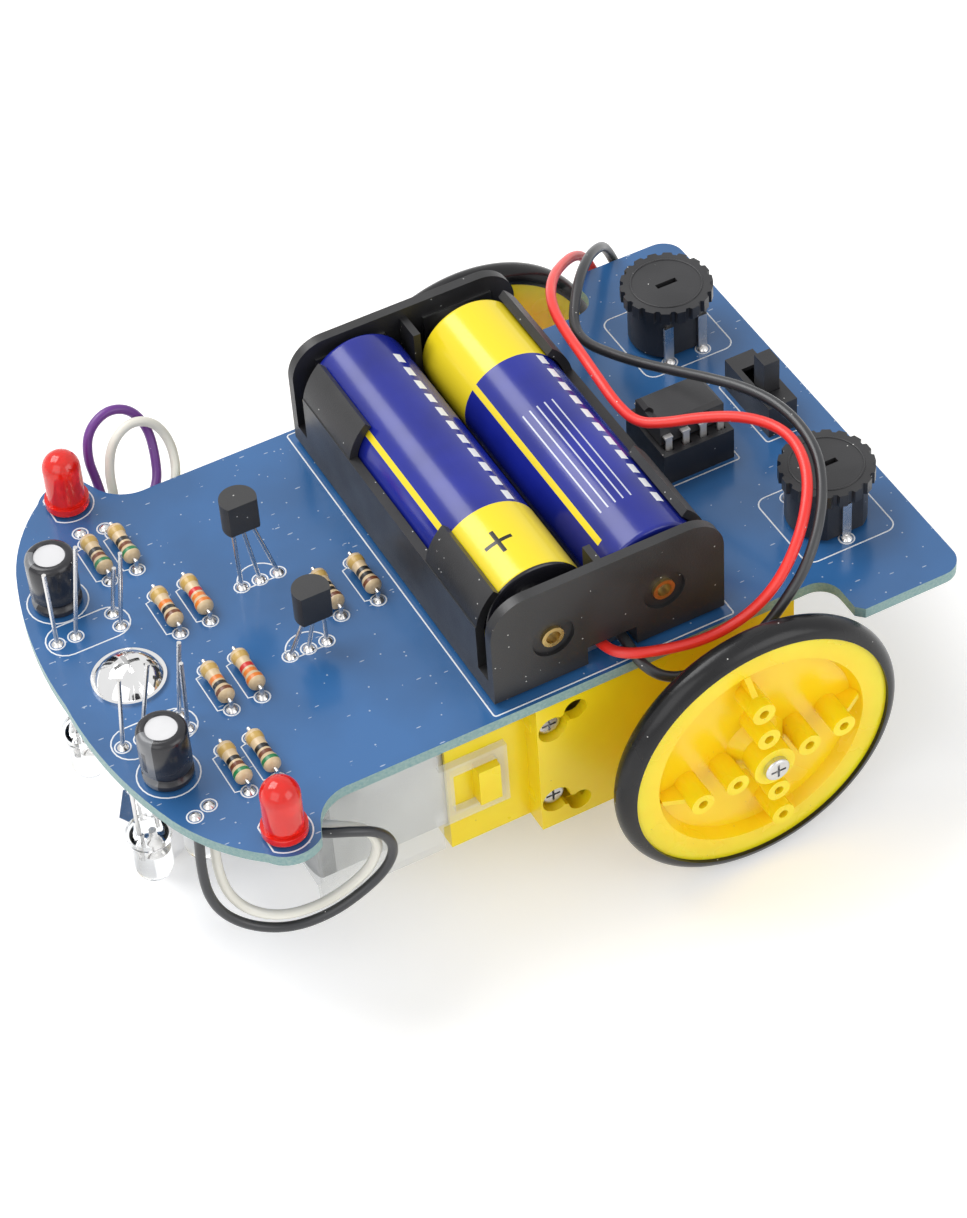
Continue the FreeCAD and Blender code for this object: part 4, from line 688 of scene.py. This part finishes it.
def resistor_body(x, y, bands, mats):
    """A waisted body along Y with its painted bands."""
    body = turned("resistor", RESISTOR_RINGS, sides=24)
    for mat in mats.values():
        body.data.materials.append(mat)
    order = list(mats)
    for face in body.data.polygons:
        height = face.center.z / MM
        face.material_index = 0
        for middle, colour in zip(BAND_AT, bands.split()):
            if abs(height - middle) < BAND_HALF:
                face.material_index = order.index(colour)
    return place(body, (x, y, BOARD_TOP / MM + RESISTOR_UP), (math.radians(-90), 0, 0))


def capacitor_finish(x, y):
    """Black sleeve with a grey stripe along it, toward the nose."""
    finish = plastic("capacitor_sleeve", rgba(0.012, 0.012, 0.015), rgba(0.02, 0.02, 0.024),
                     low=0.2, high=0.3, grain=3000.0, depth=0.006, share=0.05)
    tree = finish.tree
    dx = math_node(tree, "SUBTRACT", finish.x, x * MM)
    dy = math_node(tree, "SUBTRACT", math_node(tree, "ABSOLUTE", finish.y), y * MM)
    angle = math_node(tree, "ARCTAN2", dy, dx)
    stripe = between(tree, angle, -0.2, 0.75)
    dash = between(tree, finish.z, BOARD_TOP + 0.003, BOARD_TOP + 0.0062)
    inner = product(tree, between(tree, angle, 0.16, 0.4), dash)
    grey = mixed(tree, inner, rgba(0.16, 0.165, 0.175), rgba(0.02, 0.02, 0.024))
    return finish.tint(stripe, grey).mat


def capacitor(side, sleeve, top_mat):
    """A crimped can in its sleeve, with a bare disc on top."""
    can = turned("capacitor", CAPACITOR_RINGS, sides=48)
    can.data.materials.append(sleeve)
    can.data.materials.append(top_mat)
    for face in can.data.polygons:
        inside = Vector(face.center[:2]).length < CAPACITOR_TOP_R * MM
        if face.center.z > CAPACITOR_TOP_UP * MM and inside:
            face.material_index = 1
    return place(can, (CAPACITOR[0], side * CAPACITOR[1], BOARD_TOP / MM))


def lamp_insides(at, up, name):
    """The cup and post inside a resin lamp; up is -1 for a hanging one."""
    x, y, z = at
    cup = turned(name, CUP_RINGS, sides=20)
    cup = place(cup, (x - 0.5, y, z), (0 if up > 0 else math.pi, 0, 0))
    z0 = min(z, z + up * POST_LEN)
    post = block(name, (x + 0.75, y - 0.2, z0), (x + 1.25, y + 0.2, z0 + POST_LEN), 0.06)
    return joined([cup, post], name)


def dial_ring(name):
    """The raised ring on a dial's upper face."""
    low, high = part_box("trimmer_dial_" + name)
    middle = (low + high) / 2
    clear_selection()
    bpy.ops.mesh.primitive_torus_add(
        major_segments=64, minor_segments=8, major_radius=DIAL_RING_R * MM,
        minor_radius=DIAL_RING_WIRE_R * MM, location=(middle.x, middle.y, high.z))
    ring = bpy.context.object
    ring.name = "dial_ring_" + name
    bpy.ops.object.shade_smooth()
    settle(ring)
    return ring


# Batteries

# Places on a cell, in millimetres: along it from the middle, around it from its nose side
YELLOW_SPAN = (11.0, 23.0)
DASH_AT = (14.5, 15.7)
DASH_SPAN = (-20.3, 20.0)
DASH_PITCH = 2.9
DASH_SHARE = 0.62
LINE_AT = (4.4, 5.3)
LINE_SPAN = (-21.5, 20.0)
RULES_AT = (7.4, 8.5, 9.6, 10.7, 11.8)
RULES_SPAN = (-18.5, 1.5)
RULE_HALF = 0.1
PLUS_ALONG = 17.0
PLUS_AROUND = {1: 9.6, -1: 19.0}
PLUS_REACH = 1.9
PLUS_HALF = 0.28
RAISED_END = (3.4, 23.3)
FLAT_END = (5.6, -25.0)


def plus_mask(tree, along, around, sign):
    """The plus mark: two crossed bars."""
    arm_a = math_node(tree, "SUBTRACT", around, PLUS_AROUND[sign] * MM)
    arm_b = math_node(tree, "SUBTRACT", along, PLUS_ALONG * MM)
    arms = [math_node(tree, "ABSOLUTE", arm) for arm in (arm_a, arm_b)]
    bars = [product(tree, math_node(tree, "LESS_THAN", one, PLUS_REACH * MM),
                    math_node(tree, "LESS_THAN", other, PLUS_HALF * MM))
            for one, other in (arms, arms[::-1])]
    return math_node(tree, "MAXIMUM", *bars)


def sleeve_finish(name, x, sign, settings):
    """A printed sleeve: deep blue with a dashed stripe, and yellow at the raised end."""
    finish = Finish(name, grain=1800.0, shade=90.0, speck=1200.0, share=0.04)
    tree = finish.tree
    along = product(tree, finish.y, sign)
    up = math_node(tree, "SUBTRACT", finish.z, CELL_Z)
    out = math_node(tree, "SUBTRACT", finish.x, x)
    around = product(tree, math_node(tree, "ARCTAN2", up, out), CELL_R)
    blue = (*settings.sleeve_blue, 1.0)
    gold = (*settings.sleeve_yellow, 1.0)
    deep = tuple(c * 0.6 for c in settings.sleeve_blue) + (1.0,)
    base = mixed(tree, ramped(tree, finish.wear.outputs["Shade"], 0.3, 0.7), blue, deep)
    beat = math_node(tree, "FRACT", math_node(tree, "DIVIDE", along, DASH_PITCH * MM))
    dash = product(tree, between(tree, beat, 0.0, DASH_SHARE), band(tree, around, DASH_AT))
    dash = product(tree, dash, band(tree, along, DASH_SPAN))
    base = mixed(tree, dash, base, rgba(0.78, 0.79, 0.82))
    line = product(tree, band(tree, around, LINE_AT), band(tree, along, LINE_SPAN))
    base = mixed(tree, line, base, gold)
    for at in RULES_AT if sign < 0 else ():
        rule = product(tree, band(tree, around, (at - RULE_HALF, at + RULE_HALF)),
                       band(tree, along, RULES_SPAN))
        base = mixed(tree, rule, base, rgba(0.55, 0.57, 0.66))
    base = mixed(tree, band(tree, along, YELLOW_SPAN), base, gold)
    base = mixed(tree, plus_mask(tree, along, around, sign), base, rgba(0.01, 0.01, 0.01))
    ends = math_node(tree, "GREATER_THAN", along, YELLOW_SPAN[1] * MM)
    base = mixed(tree, ends, base, rgba(0.015, 0.015, 0.02))
    radius = distance_to(tree, up, out)
    bare = [product(tree, math_node(tree, "LESS_THAN", radius, end[0] * MM),
                    math_node(tree, beyond, along, end[1] * MM))
            for end, beyond in ((RAISED_END, "GREATER_THAN"), (FLAT_END, "LESS_THAN"))]
    bare = math_node(tree, "MAXIMUM", *bare)
    base = mixed(tree, bare, base, rgba(0.72, 0.71, 0.69))
    tree.links.new(base, finish.shader.inputs["Base Color"])
    tree.links.new(bare, finish.shader.inputs["Metallic"])
    finish.rough(0.16, 0.24).bump(0.004)
    finish.plain(Specular_IOR_Level=0.35, Coat_Weight=0.15, Coat_Roughness=0.08)
    return finish.mat


# Wires

def wire_curve(name, route, diameter, mat):
    """A smooth line through the route's run, with a round section."""
    data = bpy.data.curves.new(name + "_line", "CURVE")
    data.dimensions = "3D"
    data.bevel_depth = diameter * MM / 2
    data.bevel_resolution = 5
    data.resolution_u = 8
    data.use_fill_caps = True
    spline = data.splines.new("NURBS")
    spline.points.add(len(route) - 1)
    for k, (x, y, z) in enumerate(route):
        spline.points[k].co = (x * MM, y * MM, z * MM, 1)
    spline.order_u = 3
    spline.use_endpoint_u = True
    data.materials.append(mat)
    obj = bpy.data.objects.new(name + "_lead", data)
    bpy.context.scene.collection.objects.link(obj)
    return obj


def insulation(name, main, second):
    """Soft wire insulation with a slight sheen."""
    finish = plastic(name, rgba(*main), rgba(*second), low=0.3, high=0.42, grain=2500.0,
                     depth=0.012, share=0.04)
    finish.plain(Coat_Weight=0.15, Coat_Roughness=0.3)
    return finish.mat


# Settings and operators

class RobotSettings(bpy.types.PropertyGroup):
    """Sizes and colours that a user would change."""

    board_colour: bpy.props.FloatVectorProperty(
        name="Board colour", description="Colour of the solder mask", subtype="COLOR",
        default=(0.03, 0.128, 0.33), min=0.0, max=1.0)
    sleeve_blue: bpy.props.FloatVectorProperty(
        name="Sleeve blue", description="Main colour of the battery sleeves", subtype="COLOR",
        default=(0.012, 0.022, 0.3), min=0.0, max=1.0)
    sleeve_yellow: bpy.props.FloatVectorProperty(
        name="Sleeve yellow", description="Colour of the battery's raised end", subtype="COLOR",
        default=(0.84, 0.66, 0.02), min=0.0, max=1.0)
    print_width: bpy.props.FloatProperty(
        name="Print width", description="Width of the white lines on the board", unit="LENGTH",
        default=0.00022, min=0.0001, max=0.001)
    key_power: bpy.props.FloatProperty(
        name="Key power", description="Power of the main lamp", default=4.2, min=0.0)
    fill_power: bpy.props.FloatProperty(
        name="Fill power", description="Power of the softer lamps", default=1.6, min=0.0)


def settings_of(context):
    return context.scene.robot_settings


class ROBOT_OT_wires(bpy.types.Operator):
    """Make the six free wires"""

    bl_idname = "robot.wires"
    bl_label = "Wires"

    def execute(self, context):
        colours = {
            "red": ((0.86, 0.032, 0.022), (0.78, 0.024, 0.018)),
            "black": ((0.02, 0.021, 0.024), (0.03, 0.031, 0.034)),
            "white": ((0.8, 0.78, 0.7), (0.7, 0.68, 0.6)),
            "purple": ((0.15, 0.03, 0.26), (0.11, 0.02, 0.2)),
        }
        mats = {key: insulation("insulation_" + key, *value) for key, value in colours.items()}
        for name, route, diameter, length in WIRES:
            kind = name.split("_")[-1]
            obj = wire_curve(name, route, diameter, mats[kind])
            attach(obj, DECK)
            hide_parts(name)
        return {"FINISHED"}


class ROBOT_OT_board(bpy.types.Operator):
    """Finish the circuit board with its print and solder joints"""

    bl_idname = "robot.board"
    bl_label = "Circuit board"

    def execute(self, context):
        settings = settings_of(context)
        dress("circuit_board", board_finish(settings))
        ink = plastic("print_white", rgba(0.82, 0.84, 0.86), rgba(0.72, 0.75, 0.8), low=0.45,
                      high=0.6, grain=4000.0, depth=0.01)
        finish_piece(printed_outlines(settings), ink.mat, DECK)
        finish_piece(solder_joints(), tin(), DECK)
        dress("tinned_leads", tin())
        dress("board_pins", tin())
        return {"FINISHED"}


class ROBOT_OT_resistors(bpy.types.Operator):
    """Make the ten banded resistors"""

    bl_idname = "robot.resistors"
    bl_label = "Resistors"

    def execute(self, context):
        mats = {"body": lacquer("resistor_body", (0.66, 0.5, 0.3))}
        for name, colour in BAND_COLOURS.items():
            mats[name] = lacquer("band_" + name, colour)
        bodies = [resistor_body(x, y, bands, mats) for x, y, bands in RESISTORS]
        piece = joined(bodies, "resistor_bodies")
        finish_piece(piece, None, DECK, ("resistors",))
        return {"FINISHED"}


class ROBOT_OT_lamps(bpy.types.Operator):
    """Make the lamps, the light sensors and the capacitors"""

    bl_idname = "robot.lamps"
    bl_label = "Lamps and capacitors"

    def execute(self, context):
        red = clear_resin("red_resin", rgba(0.92, 0.022, 0.012), 0.06, 0.1)
        red.plain(Transmission_Weight=0.35, Subsurface_Weight=0.2, Subsurface_Scale=0.002)
        clear = clear_resin("clear_resin", rgba(0.97, 0.98, 0.98), 0.03, 0.07, ior=1.36)
        silver = tin()
        for name, side in SIDES:
            dress("led_" + name, red.mat)
            at = (LAMP_X, side * LAMP_Y, BOARD_TOP / MM + LAMP_CUP_UP)
            inside = lamp_insides(at, 1, "lamp_insides_" + name)
            finish_piece(inside, silver, DECK)
        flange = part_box("sensor_lamps")[1].z / MM - SENSOR_CUP_DOWN
        hanging = []
        for name, side in SIDES:
            for x in (SENSOR_FRONT, SENSOR_REAR):
                hanging.append(lamp_insides((x, side * SENSOR_Y, flange), -1, "sensor_insides"))
        finish_piece(joined(hanging, "sensor_insides"), silver, DECK)
        dress("sensor_lamps", clear.mat)
        dress("light_sensors", clear.mat)
        sleeve = capacitor_finish(*CAPACITOR)
        top = metal("capacitor_top", rgba(0.62, 0.62, 0.63), rgba(0.54, 0.54, 0.55), 0.42, 0.55)
        top.plain(Metallic=0.3)
        for name, side in SIDES:
            can = capacitor(side, sleeve, top.mat)
            can.name = "capacitor_can_" + name
            finish_piece(can, None, DECK, ("capacitor_" + name,))
        return {"FINISHED"}


class ROBOT_OT_controls(bpy.types.Operator):
    """Finish the chip, the trimmers, the switch and the transistors"""

    bl_idname = "robot.controls"
    bl_label = "Chip and controls"

    def execute(self, context):
        chip = plastic("chip_body", rgba(0.025, 0.025, 0.027), rgba(0.035, 0.035, 0.037),
                       low=0.5, high=0.62, grain=5000.0, depth=0.02, share=0.04)
        away = math_node(chip.tree, "ABSOLUTE", chip.y)
        legs = math_node(chip.tree, "GREATER_THAN", away, CHIP_BODY_HALF * MM)
        chip.tint(legs, rgba(0.72, 0.71, 0.7))
        chip.tree.links.new(legs, chip.shader.inputs["Metallic"])
        dress("comparator_chip", chip.mat)
        black = black_moulding()
        for node in ("chip_socket", "switch_housing", "switch_slider"):
            dress(node, black)
        dial = plastic("dial_black", rgba(0.014, 0.014, 0.016), rgba(0.024, 0.024, 0.026),
                       low=0.3, high=0.42, grain=4000.0, depth=0.012, share=0.08)
        resin = plastic("transistor_resin", rgba(0.016, 0.016, 0.017), rgba(0.026, 0.026, 0.027),
                        low=0.42, high=0.55, grain=5000.0, depth=0.018, share=0.05)
        for name, side in SIDES:
            dress("trimmer_base_" + name, black)
            dress("trimmer_dial_" + name, dial.mat)
            finish_piece(dial_ring(name), dial.mat, "dial_" + name)
            dress("transistor_" + name, resin.mat)
        return {"FINISHED"}


class ROBOT_OT_batteries(bpy.types.Operator):
    """Finish the cells and their holder"""

    bl_idname = "robot.batteries"
    bl_label = "Batteries"

    def execute(self, context):
        settings = settings_of(context)
        dress("battery_front", sleeve_finish("sleeve_front", 0.0, 1, settings))
        dress("battery_rear", sleeve_finish("sleeve_rear", REAR_CELL_X, -1, settings))
        holder = plastic("holder_black", rgba(0.012, 0.012, 0.013), rgba(0.02, 0.02, 0.021),
                         low=0.36, high=0.5, grain=5200.0, depth=0.025, share=0.08)
        dress("battery_holder", holder.mat)
        brass = metal("rivet_brass", rgba(0.82, 0.62, 0.26), rgba(0.66, 0.46, 0.18), 0.22, 0.36)
        dress("holder_rivets", brass.mat)
        spring = metal("contact_steel", rgba(0.3, 0.3, 0.3), rgba(0.2, 0.2, 0.2), 0.3, 0.45,
                       depth=0.001)
        dress("holder_contacts", spring.mat)
        return {"FINISHED"}


GEARBOX_PAD_X = (-32.45, 3.25)
GEARBOX_PAD_Y = (10.1, 28.45)
HOLDER_PAD = ((-22.45, -26.1), (6.95, 19.0))


class ROBOT_OT_foam(bpy.types.Operator):
    """Make the double sided foam pads"""

    bl_idname = "robot.foam"
    bl_label = "Foam pads"

    def execute(self, context):
        foam = Finish("foam_black", grain=5200.0, shade=400.0, speck=2600.0, share=0.3)
        foam.colour(rgba(0.012, 0.012, 0.012), rgba(0.03, 0.03, 0.03), rgba(0.045, 0.045, 0.045))
        foam.rough(0.85, 0.95).bump(0.08)
        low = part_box("foam_pads")[0]
        low_z = low.z / MM
        top = BOARD_LOW / MM
        pads_made = []
        for name, side in SIDES:
            y0, y1 = sorted(side * y for y in GEARBOX_PAD_Y)
            low_at = (GEARBOX_PAD_X[0], y0, low_z)
            pads_made.append(block("foam", low_at, (GEARBOX_PAD_X[1], y1, top), 0.25, 3))
        holder_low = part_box("battery_holder")[0].z / MM
        low_at, high_at = (*HOLDER_PAD[0], BOARD_TOP / MM), (*HOLDER_PAD[1], holder_low)
        pads_made.append(block("foam", low_at, high_at, 0.2, 3))
        finish_piece(joined(pads_made, "foam_tape"), foam.mat, DECK, ("foam_pads",))
        return {"FINISHED"}


class ROBOT_OT_drive(bpy.types.Operator):
    """Finish the gearboxes, the motors and their straps"""

    bl_idname = "robot.drive"
    bl_label = "Drive units"

    def execute(self, context):
        yellow = yellow_moulding()
        can = metal("can_zinc", rgba(0.66, 0.66, 0.64), rgba(0.5, 0.5, 0.49), 0.28, 0.42,
                    grain=3000.0, depth=0.01)
        cap = plastic("end_cap_black", rgba(0.015, 0.015, 0.016), rgba(0.025, 0.025, 0.026),
                      low=0.4, high=0.5, depth=0.015)
        strap = clear_resin("strap_clear", rgba(0.8, 0.82, 0.81), 0.06, 0.12)
        strap.plain(Transmission_Weight=0.0, Alpha=0.3)
        nylon = plastic("gear_nylon", rgba(0.8, 0.8, 0.76), rgba(0.72, 0.72, 0.68), low=0.35,
                        high=0.45)
        steel = metal("screw_steel", rgba(0.7, 0.7, 0.7), rgba(0.55, 0.55, 0.55), 0.2, 0.34)
        for name, side in SIDES:
            dress("gearbox_outer_" + name, yellow)
            dress("gearbox_inner_" + name, yellow)
            dress("motor_can_" + name, can.mat)
            dress("motor_end_cap_" + name, cap.mat)
            dress("motor_strap_" + name, strap.mat)
            dress("motor_rotor_" + name, steel.mat)
            for node in ("crown_gear_", "idler_gear_", "output_shaft_"):
                dress(node + name, nylon.mat)
            dress("wheel_screw_" + name, steel.mat)
        dress("case_screws", steel.mat)
        return {"FINISHED"}


class ROBOT_OT_wheels(bpy.types.Operator):
    """Finish the wheels and the tyres"""

    bl_idname = "robot.wheels"
    bl_label = "Wheels"

    def execute(self, context):
        yellow = plastic("wheel_yellow", rgba(0.95, 0.74, 0.012), rgba(0.92, 0.68, 0.008),
                         low=0.2, high=0.32, grain=3500.0, depth=0.012, share=0.04,
                         dust=rgba(0.55, 0.42, 0.08))
        tree = yellow.tree
        out = math_node(tree, "SUBTRACT", yellow.x, AXLE_X)
        up = math_node(tree, "SUBTRACT", yellow.z, AXLE_Z)
        across = math_node(tree, "ABSOLUTE", yellow.y)
        # Painted shade: the recessed dish is tinted a darker orange, strongest deep in the dish and
        # fading out toward the rim
        painted_dish_shade = product(tree, ramped(tree, across, DISH_LOW, DISH_HIGH, 1.0, 0.0),
                       ramped(tree, distance_to(tree, out, up), *DISH_EDGE, 1.0, 0.0))
        yellow.tint(painted_dish_shade, rgba(0.95, 0.5, 0.003))
        yellow.plain(Subsurface_Weight=0.25, Subsurface_Scale=0.003)
        rubber = plastic("tyre_rubber", rgba(0.006, 0.006, 0.007), rgba(0.011, 0.011, 0.012),
                         low=0.2, high=0.3, grain=2500.0, depth=0.012, share=0.03)
        rubber.plain(Specular_IOR_Level=0.32)
        for name, side in SIDES:
            dress("wheel_" + name, yellow.mat)
            dress("tyre_" + name, rubber.mat)
        return {"FINISHED"}


class ROBOT_OT_skid(bpy.types.Operator):
    """Finish the skid screw with its nuts"""

    bl_idname = "robot.skid"
    bl_label = "Skid"

    def execute(self, context):
        bright = metal("polished_nickel", rgba(0.82, 0.82, 0.82), rgba(0.74, 0.74, 0.74),
                       0.05, 0.12, grain=1500.0, depth=0.003)
        for node in ("skid_screw", "skid_nut", "skid_cap_nut"):
            dress(node, bright.mat)
        return {"FINISHED"}


# Stage

CAMERA_AT = (0.136137, 0.300349, 0.365812)
CAMERA_RIGHT = (-0.88039457, 0.47128486, -0.05287702)
CAMERA_DOWN = (0.37356041, 0.62047343, -0.68953995)
CAMERA_AHEAD = (-0.29216095, -0.62681999, -0.72231481)


def camera_matrix():
    right, down, ahead = (Vector(v) for v in (CAMERA_RIGHT, CAMERA_DOWN, CAMERA_AHEAD))
    rows = [[right[k], -down[k], -ahead[k], CAMERA_AT[k]] for k in range(3)]
    return Matrix(rows + [[0, 0, 0, 1]])


def area_lamp(name, at, size, power):
    """A square lamp that looks at the robot's middle."""
    data = bpy.data.lights.new(name, "AREA")
    data.size = size
    data.energy = power
    lamp = bpy.data.objects.new(name, data)
    bpy.context.scene.collection.objects.link(lamp)
    lamp.location = at
    lamp.rotation_mode = "QUATERNION"
    aim = Vector((0, 0, 0.02)) - Vector(at)
    lamp.rotation_quaternion = aim.to_track_quat("-Z", "Y")
    return lamp


FLOOR_GLOW = 0.28
WORLD_LIGHT = 0.55


def seen_rays(tree):
    """1 for what the camera sees, straight on, by reflection or through resin."""
    path = new_node(tree, "ShaderNodeLightPath")
    seen = math_node(tree, "MAXIMUM", path.outputs["Is Camera Ray"], path.outputs["Is Glossy Ray"])
    return math_node(tree, "MAXIMUM", seen, path.outputs["Is Transmission Ray"])


def floor_finish():
    """A white floor that keeps the shadow and shows white to the camera."""
    mat = bpy.data.materials.new("floor_white")
    mat.use_nodes = True
    tree = mat.node_tree
    shader = tree.nodes["Principled BSDF"]
    shader.inputs["Base Color"].default_value = rgba(0.88, 0.88, 0.88)
    shader.inputs["Roughness"].default_value = 0.6
    shader.inputs["Specular IOR Level"].default_value = 0.2
    tree.links.new(product(tree, seen_rays(tree), FLOOR_GLOW), shader.inputs["Emission Strength"])
    shader.inputs["Emission Color"].default_value = rgba(1.0, 1.0, 1.0)
    return mat


def world_finish():
    """An even pale light all round, white where it is seen."""
    world = bpy.data.worlds.new("studio")
    bpy.context.scene.world = world
    world.use_nodes = True
    tree = world.node_tree
    background = tree.nodes["Background"]
    background.inputs["Color"].default_value = rgba(1.0, 1.0, 1.0)
    strength = ramped(tree, seen_rays(tree), 0.0, 1.0, WORLD_LIGHT, 1.0)
    tree.links.new(strength, background.inputs["Strength"])


class ROBOT_OT_stage(bpy.types.Operator):
    """Set the floor, the lamps and the camera"""

    bl_idname = "robot.stage"
    bl_label = "Stage"

    def execute(self, context):
        settings = settings_of(context)
        world_finish()
        clear_selection()
        bpy.ops.mesh.primitive_plane_add(size=6.0, location=(0, 0, 0))
        floor = bpy.context.object
        floor.name = "floor"
        floor.data.materials.append(floor_finish())
        area_lamp("key", (0.25, -0.35, 0.65), 0.5, settings.key_power)
        area_lamp("fill_front", (0.55, 0.35, 0.45), 0.6, settings.fill_power)
        area_lamp("fill_left", (-0.35, 0.6, 0.35), 0.5, settings.fill_power)
        data = bpy.data.cameras.new("camera")
        data.lens = 108.8
        data.sensor_width = 36.0
        data.clip_start = 0.01
        data.clip_end = 20.0
        camera = bpy.data.objects.new("camera", data)
        context.scene.collection.objects.link(camera)
        camera.matrix_world = camera_matrix()
        context.scene.camera = camera
        context.scene.view_settings.view_transform = "Standard"
        return {"FINISHED"}


STEPS = (
    ROBOT_OT_stage, ROBOT_OT_wires, ROBOT_OT_board, ROBOT_OT_resistors, ROBOT_OT_lamps,
    ROBOT_OT_controls, ROBOT_OT_batteries, ROBOT_OT_foam, ROBOT_OT_drive, ROBOT_OT_wheels,
    ROBOT_OT_skid,
)


class ROBOT_PT_panel(bpy.types.Panel):
    """The list of the robot's pieces in the sidebar"""

    bl_idname = "ROBOT_PT_panel"
    bl_label = "Line follower robot"
    bl_space_type = "VIEW_3D"
    bl_region_type = "UI"
    bl_category = "Robot"

    def draw(self, context):
        settings = settings_of(context)
        for name in RobotSettings.__annotations__:
            self.layout.prop(settings, name)
        for step in STEPS:
            self.layout.operator(step.bl_idname)


CLASSES = (RobotSettings, ROBOT_PT_panel) + STEPS


def register():
    for cls in CLASSES:
        bpy.utils.register_class(cls)
    bpy.types.Scene.robot_settings = bpy.props.PointerProperty(type=RobotSettings)


def unregister():
    del bpy.types.Scene.robot_settings
    for cls in reversed(CLASSES):
        bpy.utils.unregister_class(cls)


def main():
    register()
    for step in STEPS:
        group, action = step.bl_idname.split(".")
        getattr(getattr(bpy.ops, group), action)()
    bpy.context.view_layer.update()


if __name__ == "__main__":
    main()
